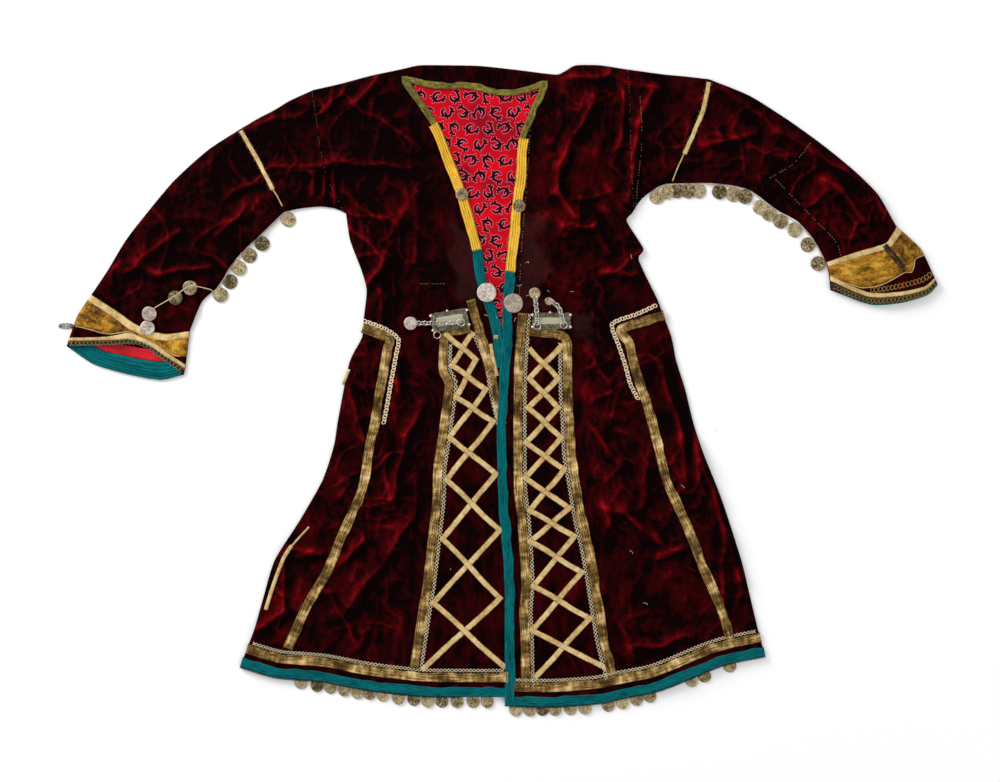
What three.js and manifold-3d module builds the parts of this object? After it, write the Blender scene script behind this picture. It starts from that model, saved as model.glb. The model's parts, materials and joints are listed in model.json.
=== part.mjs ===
// A velvet coat-dress with coins, laid flat on its back with its arms out.
// Millimetres, +X to the wearer's left, +Y towards the neck, +Z up from the surface.
import * as THREE from "three";
import { mergeVertices } from "three/addons/utils/BufferGeometryUtils.js";
import Module from "manifold-3d";

const wasm = await Module();
wasm.setup();

// Layers from the surface up
const GAP = 0.3;
const BACK_THICK = 1.6;
const LINING_THICK = 1;
const FRONT_LOW = 3.2;
const VELVET_THICK = 2;
const FRONT_TOP = FRONT_LOW + VELVET_THICK;
const TRIM_THICK = 1;
const TRIM_LOW = FRONT_TOP + GAP;
const TRIM_TOP = TRIM_LOW + TRIM_THICK;
const FOLD_EDGE = 2.5;
const EDGE_CROWN = 4.2;
const BACK_INSET = 4;
const BACK_HEM_UP = 16;
const TALLEST_FOLD = 11;

// Widths of the sewn-on strips
const OLIVE_WIDE = 9;
const YELLOW_WIDE = 14;
const TEAL_WIDE = 14;
const HEM_TEAL_WIDE = 15;
const HEM_BARE_WIDE = 7;
const GALLOON_WIDE = 15;
const TAPE_WIDE = 8.5;
const CHAIN_BRAID_WIDE = 6;
const SLEEVE_TAPE_WIDE = 6;
const SKIRT_LENGTH = 530;

// Coins and plaques
const COIN_THICK = 1.5;
const SLEEVE_COIN = 11;
const HEM_COIN = 9.6;
const BREAST_COIN = 9.4;
const WAIST_COIN = 14.4;
const PLATE_LOW = TRIM_TOP + GAP;
const PLATE_TOP = PLATE_LOW + 1.8;
const RING_HEIGHT = PLATE_TOP + 2.3;
const RING_RADIUS = 5.2;
const RING_WIRE = 0.8;
const EYE_RADIUS = 2.2;

const FINISHES = {
  velvet: { color: 0x3d060a, roughness: 0.8, metalness: 0 },
  lining: { color: 0xb40d1c, roughness: 0.85, metalness: 0 },
  teal: { color: 0x0b5560, roughness: 0.7, metalness: 0 },
  yellow: { color: 0xeeb949, roughness: 0.7, metalness: 0 },
  olive: { color: 0x7a7420, roughness: 0.7, metalness: 0 },
  galloon: { color: 0x9c7a44, roughness: 0.45, metalness: 0.5 },
  cream: { color: 0xd9c496, roughness: 0.75, metalness: 0 },
  brocade: { color: 0xa0782a, roughness: 0.5, metalness: 0.4 },
  scroll: { color: 0x2c2a1a, roughness: 0.6, metalness: 0.2 },
  silver: { color: 0xb9b4a8, roughness: 0.35, metalness: 0.9 },
  coin: { color: 0x9a8a66, roughness: 0.4, metalness: 0.8 },
};

// The largest folds, each a soft ridge along a straight line
// columns: start x, start y, end x, end y, half width, height
const FOLDS = [
  [-214, 420, -106, 344, 24, 7],
  [-345, 321, -255, 330, 18, 6],
  [-255, 330, -138, 321, 20, 6],
  [-210, 424, -183, 458, 17, 5],
  [-368, 384, -287, 409, 17, 4],
  [-408, 285, -354, 312, 17, 5],
  [-561, 168, -484, 231, 19, 7],
  [-543, 186, -502, 164, 16, 5],
  [-502, 168, -435, 172, 14, 5],
  [-420, 225, -380, 262, 18, 5],
  [-282, 316, -282, 280, 9, 4],
  [-264, 312, -264, 280, 9, 4],
  [-246, 318, -244, 268, 10, 5],
  [-228, 285, -174, 244, 17, 5],
  [-219, 231, -174, 186, 18, 7],
  [-174, 186, -196, 148, 17, 7],
  [-124, 285, -124, 180, 22, 5],
  [-192, 154, -152, 112, 18, 5],
  [134, 416, 93, 330, 20, 9],
  [93, 330, 88, 285, 20, 9],
  [88, 285, 116, 249, 19, 8],
  [93, 456, 165, 459, 16, 5],
  [165, 459, 237, 438, 17, 5],
  [228, 434, 210, 384, 17, 7],
  [210, 384, 201, 321, 17, 7],
  [201, 321, 192, 276, 16, 6],
  [188, 434, 178, 352, 16, 5],
  [98, 231, 142, 237, 15, 6],
  [142, 237, 165, 200, 16, 6],
  [156, 168, 206, 162, 17, 5],
  [305, 357, 381, 375, 18, 5],
  [376, 352, 435, 344, 17, 5],
  [336, 442, 417, 380, 17, 5],
  [417, 380, 543, 303, 18, 6],
  [489, 303, 545, 246, 19, 8],
  [561, 290, 578, 256, 16, 6],
  [-109, -32, -140, -75, 19, 8],
  [-140, -75, -156, -168, 18, 6],
  [-171, -114, -156, -188, 17, 5],
  [-117, -188, -234, -344, 26, 7],
  [-202, -238, -249, -278, 18, 6],
  [-225, -12, -202, -87, 17, 6],
  [-315, -250, -268, -255, 17, 6],
  [-322, -262, -322, -340, 18, 6],
  [-322, -340, -362, -368, 17, 5],
  [-254, -309, -218, -387, 20, 5],
  [-156, 57, -152, -12, 18, 6],
  [141, -184, 183, -188, 16, 7],
  [183, -188, 237, -236, 17, 7],
  [237, -261, 279, -243, 16, 6],
  [162, -194, 148, -252, 17, 6],
  [158, -336, 204, -412, 19, 6],
  [195, -399, 288, -378, 19, 6],
  [120, -51, 186, -122, 19, 5],
  [246, 26, 270, -84, 17, 7],
  [270, -84, 279, -142, 16, 6],
  [296, -84, 304, -168, 15, 6],
  [300, -100, 363, -294, 17, 7],
  [338, -222, 338, -327, 17, 6],
  [228, -93, 212, -184, 18, 5],
  [130, 50, 165, 0, 18, 5],
];

// Where the front lies smooth, between the two outer rows of trim
// columns: y, left x, right x
const SMOOTH = [
  [480, -172, 96],
  [440, -158, 78],
  [388, -118, 56],
  [284, -78, 48],
  [202, -60, 42],
  [150, -60, 48],
  [128, -150, 116],
  [60, -150, 116],
  [30, -104, 116],
  [-105, -106, 124],
  [-201, -114, 140],
  [-340, -130, 166],
  [-480, -150, 192],
];
const SMOOTH_EDGE = 26;

// Outlines, columns: x, y
const SHOULDER_RIGHT = [[-280, 441], [-240, 450], [-195, 462], [-144, 473]];
const NECK_TOP = [[-144, 473], [-120, 478], [-75, 478], [-30, 477], [26, 471], [84, 464], [99, 470]];
const SHOULDER_LEFT = [[99, 470], [114, 478], [150, 478], [189, 472]];
const BACK_NECKLINE = [[-138, 454], [-98, 446], [-51, 447], [-20, 440], [10, 436], [38, 440], [62, 446]];
const ARMHOLE_RIGHT = [[-280, 441], [-273, 396], [-267, 351], [-255, 306], [-231, 256]];
const ARMHOLE_LEFT = [[189, 472], [192, 418], [193, 364], [195, 310], [198, 256]];
const SIDE_RIGHT = [[-231, 256], [-225, 216], [-208, 171], [-200, 141], [-204, 101]];
const SIDE_LEFT = [[198, 256], [190, 244], [215, 203], [208, 186], [236, 127]];
const EDGE_RIGHT = [
  [-138, 454], [-92, 388], [-71, 336], [-51, 284], [-28, 202], [-22, 158], [-3, 102], [4, 69],
];
const EDGE_LEFT = [[62, 446], [30, 370], [26, 321], [20, 273], [9, 168], [6, 140], [4.4, 102], [4.4, 69]];
const WAIST_RIGHT = [[-204, 101], [-168, 86], [-150, 74], [-88, 80], [4, 69]];
const WAIST_LEFT = [[4.4, 69], [60, 70], [112, 74], [168, 95], [236, 127]];
const SKIRT_SIDE_RIGHT = [
  [-204, 101], [-207, 70], [-226, 32], [-243, -54], [-249, -92], [-266, -144],
  [-300, -204], [-338, -264], [-356, -324], [-369, -369], [-390, -424],
];
const SKIRT_SIDE_LEFT = [
  [236, 127], [257, 71], [264, 36], [278, -9], [291, -62], [306, -106],
  [333, -174], [362, -264], [375, -318], [387, -369], [398, -408],
];
const SKIRT_EDGE = [
  [4.4, 69], [1, 36], [-1, -2], [-4, -54], [-3.5, -92], [-2.5, -144],
  [0, -204], [6, -264], [8, -324], [8, -400], [8, -483],
];
const HEM_RIGHT = [
  [-390, -424], [-336, -440], [-267, -446], [-198, -459], [-120, -468], [-60, -469], [14, -469],
];
const HEM_LEFT = [[14.3, -483], [80, -484], [148, -479], [180, -472], [242, -459], [333, -422], [398, -408]];
const UNDERLAP = 6;

// Sleeves and cuffs
const TAPE_LINE_RIGHT = [[-390, 382], [-374, 354], [-357, 324], [-340, 291], [-324, 258]];
const TAPE_LINE_LEFT = [[314, 457], [304, 411], [290, 375], [276, 345], [264, 301]];
const ARM_TOP_RIGHT = [[-280, 441], [-315, 425], [-338, 411], [-363, 398], [-390, 382]];
const ARM_UNDER_RIGHT = [[-231, 256], [-247, 263], [-270, 266], [-300, 263], [-324, 258]];
const FOREARM_TOP_RIGHT = [
  [-390, 382], [-438, 351], [-488, 306], [-526, 261], [-561, 216], [-588, 171], [-612, 135],
];
const FOREARM_UNDER_RIGHT = [
  [-324, 258], [-357, 226], [-388, 197], [-406, 174], [-422, 147], [-447, 123], [-465, 80],
];
const CUFF_LINE_RIGHT = [[-612, 135], [-573, 110], [-540, 87], [-502, 76], [-465, 80]];
const CUFF_SIDE_RIGHT = [[-612, 135], [-633, 104], [-644, 75], [-650, 57]];
const CUFF_UNDER_RIGHT = [[-465, 80], [-468, 54], [-471, 30], [-474, 14]];
const CUFF_FRONT_RIGHT = [[-650, 57], [-592, 59], [-536, 61], [-502, 36], [-474, 14]];
const CUFF_BACK_RIGHT = [[-650, 57], [-610, 30], [-560, 15], [-510, 6], [-474, 14]];
const ARM_TOP_LEFT = [[189, 472], [218, 468], [248, 464], [280, 461], [314, 457]];
const ARM_UNDER_LEFT = [[198, 256], [212, 277], [234, 294], [248, 300], [264, 301]];
const FOREARM_TOP_LEFT = [[314, 457], [375, 432], [435, 394], [486, 357], [530, 321], [567, 284], [594, 237]];
const FOREARM_UNDER_LEFT = [
  [264, 301], [322, 301], [372, 292], [414, 262], [446, 244], [471, 216], [489, 183],
];
const CUFF_LINE_LEFT = [[594, 237], [585, 222], [576, 211], [532, 198], [489, 183]];
const CUFF_SIDE_LEFT = [[594, 237], [630, 204], [648, 168], [656, 150]];
const CUFF_UNDER_LEFT = [[489, 183], [492, 170], [494, 156], [495, 141]];
const CUFF_FRONT_LEFT = [[656, 150], [641, 134], [602, 122], [555, 119], [495, 141]];

// Trim lines, columns: x, y
const GALLOON_OUTER_RIGHT = [
  [-45, 84], [-80, 77], [-84, 60], [-85, 20], [-76, 0], [-80, -36], [-86, -81],
  [-93, -128], [-94, -172], [-100, -225], [-108, -294], [-117, -351], [-128, -425],
];
const GALLOON_INNER_RIGHT = [[-44, 126], [-22, 48], [-8, -12], [3, -60]];
const GALLOON_INNER_LEFT = [
  [34, 106], [28, 21], [27, -69], [28, -159], [33, -201], [39, -294], [36, -339], [38, -386], [39, -455],
];
const GALLOON_OUTER_LEFT = [
  [42, 79], [88, 74], [100, 62], [101, -16], [104, -58], [106, -105], [114, -152],
  [122, -201], [133, -248], [141, -294], [148, -339], [156, -386], [170, -440],
];
const LATTICE_RIGHT = [
  [[-80, 74], [-36, 36], [-66, -20], [-10, -56], [-80, -144], [0, -219], [-100, -328], [6, -423]],
  [[-42, 75], [-72, 28], [-21, -8], [-75, -80], [-6, -135], [-86, -232], [0, -321], [-114, -426]],
];
const LATTICE_LEFT = [
  [
    [46, 51], [87, 8], [42, -36], [92, -80], [38, -141],
    [104, -186], [45, -236], [123, -282], [48, -369], [160, -426],
  ],
  [
    [92, 57], [44, 8], [87, -36], [39, -88], [96, -128],
    [45, -190], [112, -228], [50, -303], [135, -351], [54, -438],
  ],
];
const SIDE_GALLOON_RIGHT = [
  [-206, 84], [-166, 68], [-169, 51], [-174, 21], [-181, -14], [-187, -57], [-195, -92],
  [-206, -158], [-236, -226], [-258, -279], [-290, -334], [-318, -396],
];
const SIDE_GALLOON_LEFT = [
  [246, 103], [181, 82], [193, 62], [200, 30], [208, 4], [220, -29], [237, -93],
  [251, -148], [279, -210], [304, -274], [334, -344], [346, -388],
];
const CHAIN_BRAID_RIGHT = [[-202, 94], [-171, 82], [-152, 67], [-156, 40], [-163, 3], [-169, -32], [-174, -57]];
const CHAIN_BRAID_LEFT = [[232, 117], [206, 105], [168, 90], [178, 57], [187, 30], [195, 0], [206, -21]];

// Coins, columns: x, y
const COINS_ARM_RIGHT = [[-317, 245], [-358, 212], [-377, 194], [-394, 176], [-407, 155], [-428, 143]];
const COINS_WRIST_RIGHT = [[-464, 144], [-486, 129], [-525, 105], [-528, 84]];
const COINS_ARM_LEFT = [
  [235, 281], [250, 288], [266, 289.5], [282, 289.5], [298, 289.5], [329, 288], [350, 284], [368, 281],
  [391, 266], [404, 256], [421, 244], [443, 232], [464, 210], [482, 183],
];
const COINS_HEM_RIGHT = [
  [-298, -448], [-274, -452], [-254, -455], [-233, -459], [-213, -463], [-195, -464], [-175, -467],
  [-152, -471], [-129, -473], [-108, -476], [-87, -476], [-64, -478], [-40, -478], [-19, -478],
];
const COINS_HEM_LEFT = [
  [24, -489], [45, -489], [64, -488], [83, -488], [106, -487], [128, -486], [163, -482], [184, -478],
  [205, -473], [225, -468], [288, -445], [307, -438], [345, -423],
];

// Soft ridges summed, calmed where the trim keeps the front smooth
function foldHeight(x, y) {
  let sum = 0;
  for (const [ax, ay, bx, by, half, height] of FOLDS) {
    const along = ((x - ax) * (bx - ax) + (y - ay) * (by - ay)) / ((bx - ax) ** 2 + (by - ay) ** 2);
    const t = Math.min(1, Math.max(0, along));
    const d = Math.hypot(x - ax - t * (bx - ax), y - ay - t * (by - ay)) / half;
    if (d < 1) sum += height * (1 - d * d) ** 2;
  }
  return TALLEST_FOLD * Math.tanh(sum / TALLEST_FOLD) * ruffled(x, y);
}

// 0 inside the smooth middle of the front and 1 well outside it
function ruffled(x, y) {
  let i = 0;
  while (i < SMOOTH.length - 2 && y < SMOOTH[i + 1][0]) i += 1;
  const [ya, la, ra] = SMOOTH[i];
  const [yb, lb, rb] = SMOOTH[i + 1];
  const t = Math.min(1, Math.max(0, (y - ya) / (yb - ya)));
  const outside = Math.max(la + t * (lb - la) - x, x - ra - t * (rb - ra));
  return THREE.MathUtils.smoothstep(outside, 0, SMOOTH_EDGE);
}

// A place along a line of rows, at a share of its row count
function placeOn(rows, share) {
  const at = share * (rows.length - 1);
  const i = Math.min(rows.length - 2, Math.floor(at));
  const t = at - i;
  return [0, 1].map((k) => rows[i][k] + t * (rows[i + 1][k] - rows[i][k]));
}

function moved(rows, dx, dy = 0) {
  return rows.map(([x, y]) => [x + dx, y + dy]);
}

// The line that runs beside another, to its left when walked
function beside(rows, distance) {
  return rows.map((here, i) => {
    const before = rows[Math.max(0, i - 1)];
    const after = rows[Math.min(rows.length - 1, i + 1)];
    const a = new THREE.Vector2(here[0] - before[0], here[1] - before[1]);
    const b = new THREE.Vector2(after[0] - here[0], after[1] - here[1]);
    if (a.lengthSq() === 0) a.copy(b);
    if (b.lengthSq() === 0) b.copy(a);
    a.normalize();
    b.normalize();
    const bend = Math.max(0.5, Math.sqrt((1 + a.dot(b)) / 2));
    const across = new THREE.Vector2(-a.y - b.y, a.x + b.x).normalize();
    return [here[0] + (across.x * distance) / bend, here[1] + (across.y * distance) / bend];
  });
}

// A piece of cloth between four border lines, as a function of its two shares
function pieceOf(borders) {
  const { top, bottom } = borders;
  const left = [top[0], ...borders.left.slice(1, -1), bottom[0]];
  const right = [top.at(-1), ...borders.right.slice(1, -1), bottom.at(-1)];
  const corners = [placeOn(top, 0), placeOn(top, 1), placeOn(bottom, 0), placeOn(bottom, 1)];
  return (s, t) => {
    const [a, b, c, d] = [placeOn(top, s), placeOn(bottom, s), placeOn(left, t), placeOn(right, t)];
    return [0, 1].map(
      (k) =>
        (1 - t) * a[k] + t * b[k] + (1 - s) * c[k] + s * d[k] -
        (1 - s) * (1 - t) * corners[0][k] - s * (1 - t) * corners[1][k] -
        (1 - s) * t * corners[2][k] - s * t * corners[3][k],
    );
  };
}

function steps(count, from = 0, to = 1) {
  return Array.from({ length: count + 1 }, (_, i) => from + ((to - from) * i) / count);
}

function gridOf(place, across, down) {
  return down.map((t) => across.map((s) => place(s, t)));
}

// A closed solid from its corner points and faces, turned so that the faces look out
function closedSolid(points, faces) {
  const volume = faces.reduce((sum, [a, b, c]) => {
    const [p, q, r] = [points[a], points[b], points[c]].map((v) => new THREE.Vector3(...v));
    return sum + p.dot(q.cross(r));
  }, 0);
  const out = volume > 0 ? faces : faces.map(([a, b, c]) => [a, c, b]);
  const geometry = new THREE.BufferGeometry();
  geometry.setAttribute("position", new THREE.Float32BufferAttribute(points.flat(), 3));
  geometry.setIndex(out.flat());
  return solidFrom(geometry);
}

function solidFrom(geometry) {
  const bare = geometry.clone();
  bare.deleteAttribute("normal");
  bare.deleteAttribute("uv");
  const merged = mergeVertices(bare, 1e-4);
  return new wasm.Manifold(
    new wasm.Mesh({
      numProp: 3,
      vertProperties: new Float32Array(merged.attributes.position.array),
      triVerts: new Uint32Array(merged.index.array),
    }),
  );
}

// A sheet over a grid of places, between two heights given at each grid point
function sheetSolid(grid, low, high) {
  const rows = grid.length;
  const cols = grid[0].length;
  const points = [];
  for (const height of [low, high])
    grid.forEach((row, i) => row.forEach(([x, y], j) => points.push([x, y, height(x, y, i, j)])));
  const at = (layer, i, j) => layer * rows * cols + i * cols + j;
  const faces = [];
  const quad = (a, b, c, d) => faces.push([a, b, c], [a, c, d]);
  for (let i = 0; i < rows - 1; i += 1)
    for (let j = 0; j < cols - 1; j += 1) {
      quad(at(0, i, j), at(0, i, j + 1), at(0, i + 1, j + 1), at(0, i + 1, j));
      quad(at(1, i, j), at(1, i + 1, j), at(1, i + 1, j + 1), at(1, i, j + 1));
    }
  for (let i = 0; i < rows - 1; i += 1) {
    quad(at(0, i, 0), at(0, i + 1, 0), at(1, i + 1, 0), at(1, i, 0));
    quad(at(0, i + 1, cols - 1), at(0, i, cols - 1), at(1, i, cols - 1), at(1, i + 1, cols - 1));
  }
  for (let j = 0; j < cols - 1; j += 1) {
    quad(at(0, 0, j + 1), at(0, 0, j), at(1, 0, j), at(1, 0, j + 1));
    quad(at(0, rows - 1, j), at(0, rows - 1, j + 1), at(1, rows - 1, j + 1), at(1, rows - 1, j));
  }
  return closedSolid(points, faces);
}

// A front panel: its sheet, its place function, and the cover that trim is cut from.
// On the borders named in turned, the cloth rolls over and down to the surface.
function frontPanel(borders, across, down, turned = {}) {
  const place = pieceOf(borders);
  const grid = gridOf(place, across, down);
  const rolled = (i, j) =>
    (j === 0 && down[i] > turned.left) ||
    (j === across.length - 1 && down[i] > turned.right) ||
    (turned.top && i === 0);
  const low = (x, y, i, j) => (rolled(i, j) ? 0 : FRONT_LOW + foldHeight(x, y));
  const high = (x, y, i, j) => (rolled(i, j) ? EDGE_CROWN : FRONT_TOP) + foldHeight(x, y);
  const cover = sheetSolid(
    grid,
    (x, y, i, j) => high(x, y, i, j) + GAP,
    (x, y, i, j) => high(x, y, i, j) + GAP + TRIM_THICK,
  );
  return { place, cover, sheet: sheetSolid(grid, low, high) };
}

// An upright block over a flat outline
function blockOver(outline, low, high) {
  const shape = new THREE.Shape(outline.map(([x, y]) => new THREE.Vector2(x, y)));
  const geometry = new THREE.ExtrudeGeometry(shape, { depth: high - low, bevelEnabled: false });
  geometry.translate(0, 0, low);
  return solidFrom(geometry);
}

const TALL = [-5, 60];

function stripOutline(line, wide) {
  return [...beside(line, wide / 2), ...beside(line, -wide / 2).reverse()];
}

// A stretch of a panel between two shares across and two down, as an upright block
function stretchOf(place, [s0, s1], [t0, t1], count = 24) {
  const grid = gridOf(place, steps(count, s0, s1), [t0, t1]);
  return sheetSolid(grid, () => TALL[0], () => TALL[1]);
}

// A laid sleeve: a closed loop of cloth at each station, from its upper to its under fold
function laidTube({ start, ends, upper, under, count, stations }) {
  const frontPlace = pieceOf({ top: start, bottom: ends[0], left: upper, right: under });
  const backPlace = pieceOf({ top: start, bottom: ends[1], left: upper, right: under });
  const loops = stations.map((t) => {
    const wide = new THREE.Vector2(...frontPlace(0, t)).distanceTo(new THREE.Vector2(...frontPlace(1, t)));
    const shares = (edge) => [edge / wide, ...steps(count - 2, 1 / count, 1 - 1 / count), 1 - edge / wide];
    const face = (place, edge, heightAt) =>
      shares(edge).map((s) => {
        const [x, y] = place(s, t);
        return [x, y, heightAt(x, y)];
      });
    const side = (s, z) => [...frontPlace(s, t), z];
    const outer = [
      side(0, FOLD_EDGE),
      ...face(frontPlace, 2, (x, y) => FRONT_TOP + foldHeight(x, y)),
      side(1, FOLD_EDGE),
      ...face(backPlace, 2, () => 0).reverse(),
    ];
    const inner = [
      side(VELVET_THICK / wide, FOLD_EDGE),
      ...face(frontPlace, 4, (x, y) => FRONT_LOW + foldHeight(x, y)),
      side(1 - VELVET_THICK / wide, FOLD_EDGE),
      ...face(backPlace, 4, () => BACK_THICK).reverse(),
    ];
    return { outer, inner };
  });
  const size = loops[0].outer.length;
  const points = loops.flatMap(({ outer, inner }) => [...outer, ...inner]);
  const at = (row, part, k) => row * 2 * size + part * size + (k % size);
  const faces = [];
  const quad = (a, b, c, d) => faces.push([a, b, c], [a, c, d]);
  const last = loops.length - 1;
  for (let k = 0; k < size; k += 1) {
    for (let row = 0; row < last; row += 1) {
      quad(at(row, 0, k), at(row, 0, k + 1), at(row + 1, 0, k + 1), at(row + 1, 0, k));
      quad(at(row, 1, k), at(row + 1, 1, k), at(row + 1, 1, k + 1), at(row, 1, k + 1));
    }
    quad(at(0, 0, k), at(0, 1, k), at(0, 1, k + 1), at(0, 0, k + 1));
    quad(at(last, 0, k), at(last, 0, k + 1), at(last, 1, k + 1), at(last, 1, k));
  }
  return { solid: closedSolid(points, faces), place: frontPlace, backPlace };
}

// A round coin lying at a height
function coinAt(x, y, radius, low, sides = 12) {
  const geometry = new THREE.CylinderGeometry(radius, radius, COIN_THICK, sides);
  geometry.rotateX(Math.PI / 2);
  geometry.translate(x, y, low + COIN_THICK / 2);
  return solidFrom(geometry);
}

// Coins joined by the thread that they are sewn on
function coinString(places, radius, low, thread, threadTop, sides = 8) {
  const threadWide = 1.6;
  let string = blockOver(stripOutline(thread, threadWide), low, threadTop);
  for (const [x, y] of places) string = string.add(coinAt(x, y, radius, low, sides));
  return string;
}

// A chain of links that follows rows of x, y and low height, drawn as a notched strip
function chainStrip(rows, linkLong = 5) {
  const [wideLink, narrowLink, thick] = [4.4, 2.2, 1.8];
  const line = [];
  rows.slice(1).forEach((end, i) => {
    const from = rows[i];
    const count = Math.max(1, Math.round(Math.hypot(end[0] - from[0], end[1] - from[1]) / linkLong));
    for (let k = i === 0 ? 0 : 1; k <= count; k += 1)
      line.push([0, 1, 2].map((c) => from[c] + ((end[c] - from[c]) * k) / count));
  });
  const grid = line.map((here, i) => {
    const wide = i % 2 ? narrowLink : wideLink;
    const left = beside(line, wide / 2)[i];
    const right = beside(line, -wide / 2)[i];
    return [left, right];
  });
  return sheetSolid(grid, (x, y, i) => line[i][2], (x, y, i) => line[i][2] + thick);
}

// A wire ring: flat when its axis is z, upright across x or y otherwise
function wireRing(x, y, z, radius, wire, axis) {
  const geometry = new THREE.TorusGeometry(radius, wire, 4, Math.round(6 + radius));
  if (axis === "x") geometry.rotateY(Math.PI / 2);
  if (axis === "y") geometry.rotateX(Math.PI / 2);
  geometry.translate(x, y, z);
  return solidFrom(geometry);
}

// A silver plaque: plate, raised rim, knobs at its corners, and the eyes for its rings
function plaque({ x, y, long, high, turn, eyes }) {
  const rimWide = 3.4;
  const rimRise = 0.9;
  const knob = 2;
  const box = (w, h, low, top) => {
    const geometry = new THREE.BoxGeometry(w, h, top - low);
    geometry.translate(0, 0, (low + top) / 2);
    geometry.rotateZ(turn);
    geometry.translate(x, y, 0);
    return solidFrom(geometry);
  };
  let solid = box(long, high, PLATE_LOW, PLATE_TOP);
  const frame = box(long, high, PLATE_TOP - 0.5, PLATE_TOP + rimRise);
  const window = box(long - 2 * rimWide, high - 2 * rimWide, PLATE_TOP - 1, PLATE_TOP + 2);
  solid = solid.add(frame.subtract(window));
  solid = solid.add(box(long - 4 * rimWide, high - 4 * rimWide, PLATE_TOP - 0.5, PLATE_TOP + rimRise));
  for (const [sx, sy] of [[-1, -1], [-1, 1], [1, -1], [1, 1]]) {
    const ball = new THREE.SphereGeometry(knob, 6, 4);
    ball.translate((sx * long) / 2, (sy * (high - 6)) / 2, PLATE_LOW + knob);
    ball.rotateZ(turn);
    ball.translate(x, y, 0);
    solid = solid.add(solidFrom(ball));
  }
  for (const [ex, ey, axis] of eyes)
    solid = solid.add(wireRing(ex, ey, RING_HEIGHT, EYE_RADIUS, RING_WIRE, axis));
  return solid;
}

const group = new THREE.Group();
const materials = {};
for (const [name, look] of Object.entries(FINISHES)) materials[name] = new THREE.MeshStandardMaterial(look);

function addPiece(name, finish, solid) {
  const { vertProperties, triVerts } = solid.getMesh();
  const geometry = new THREE.BufferGeometry();
  geometry.setAttribute("position", new THREE.BufferAttribute(new Float32Array(vertProperties), 3));
  geometry.setIndex(new THREE.BufferAttribute(new Uint32Array(triVerts), 1));
  geometry.computeVertexNormals();
  const mesh = new THREE.Mesh(geometry, materials[finish]);
  mesh.name = name;
  group.add(mesh);
  return solid;
}

// Bodice: two fronts and a back, whose neck piece folds over towards the front
const UNDERARM_SHARE = 0.5;
const NEVER = 2;
const bodiceDown = [0, 0.009, ...steps(15, 1 / 16, 1)];
const bodiceRight = frontPanel(
  {
    top: SHOULDER_RIGHT,
    bottom: WAIST_RIGHT,
    left: [...ARMHOLE_RIGHT, ...SIDE_RIGHT.slice(1)],
    right: [NECK_TOP[0], ...EDGE_RIGHT],
  },
  [0, 0.013, ...steps(11, 1 / 12, 1)],
  bodiceDown,
  { left: UNDERARM_SHARE, right: NEVER, top: true },
);
const bodiceLeft = frontPanel(
  {
    top: SHOULDER_LEFT,
    bottom: WAIST_LEFT,
    left: [NECK_TOP.at(-1), ...EDGE_LEFT],
    right: [...ARMHOLE_LEFT, ...SIDE_LEFT.slice(1)],
  },
  [...steps(11, 0, 11 / 12), 0.987, 1],
  bodiceDown,
  { left: NEVER, right: UNDERARM_SHARE, top: true },
);
addPiece("front_bodice_right", "velvet", bodiceRight.sheet);
addPiece("front_bodice_left", "velvet", bodiceLeft.sheet);

const { sheet: backNeck } = frontPanel(
  {
    top: [[-143.7, 473], ...NECK_TOP.slice(1, -1), [98.7, 470.3]],
    bottom: [[-137.7, 454], ...BACK_NECKLINE.slice(1, -1), [61.7, 446.3]],
    left: [NECK_TOP[0], BACK_NECKLINE[0]],
    right: [NECK_TOP.at(-1), BACK_NECKLINE.at(-1)],
  },
  steps(12),
  [0, 0.12, 0.5, 1],
  { left: NEVER, right: NEVER, top: true },
);
addPiece("back_neck", "velvet", backNeck);

function backSheet(name, borders, across, down) {
  const grid = gridOf(pieceOf(borders), across, down);
  addPiece(name, "velvet", sheetSolid(grid, () => 0, () => BACK_THICK));
}

backSheet(
  "back_bodice",
  {
    top: moved(
      [[-278, 441], ...SHOULDER_RIGHT.slice(1), ...NECK_TOP.slice(1), ...SHOULDER_LEFT.slice(1)],
      0,
      -BACK_INSET,
    ),
    bottom: [[-200, 101], [4, 66], [232, 127]],
    left: [...moved(ARMHOLE_RIGHT.slice(0, 4), 1), ...moved(SIDE_RIGHT, BACK_INSET)],
    right: [...moved(ARMHOLE_LEFT.slice(0, 4), -1), ...moved(SIDE_LEFT, -BACK_INSET)],
  },
  steps(12),
  steps(8),
);
backSheet(
  "back_skirt",
  {
    top: [[-200, 100.6], [4, 65.6], [232, 126.6]],
    bottom: moved(
      [[-376, -424], ...HEM_RIGHT.slice(1, -1), [10, -469], ...HEM_LEFT.slice(1, -1), [384, -408]],
      0,
      BACK_HEM_UP,
    ),
    left: moved(SKIRT_SIDE_RIGHT, BACK_INSET),
    right: moved(SKIRT_SIDE_LEFT, -BACK_INSET),
  },
  steps(4),
  steps(10),
);

// The lining of the back, as far as the open neck shows it and a hand's breadth under the fronts
const LINING_REACH = 16;
const liningOutline = [
  ...moved(EDGE_RIGHT, -LINING_REACH),
  ...moved(EDGE_LEFT, LINING_REACH).reverse(),
  ...moved(BACK_NECKLINE.slice(1, -1), 0, 5).reverse(),
];
const liningLow = BACK_THICK + GAP;
addPiece("back_lining", "lining", blockOver(liningOutline, liningLow, liningLow + LINING_THICK));

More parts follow.
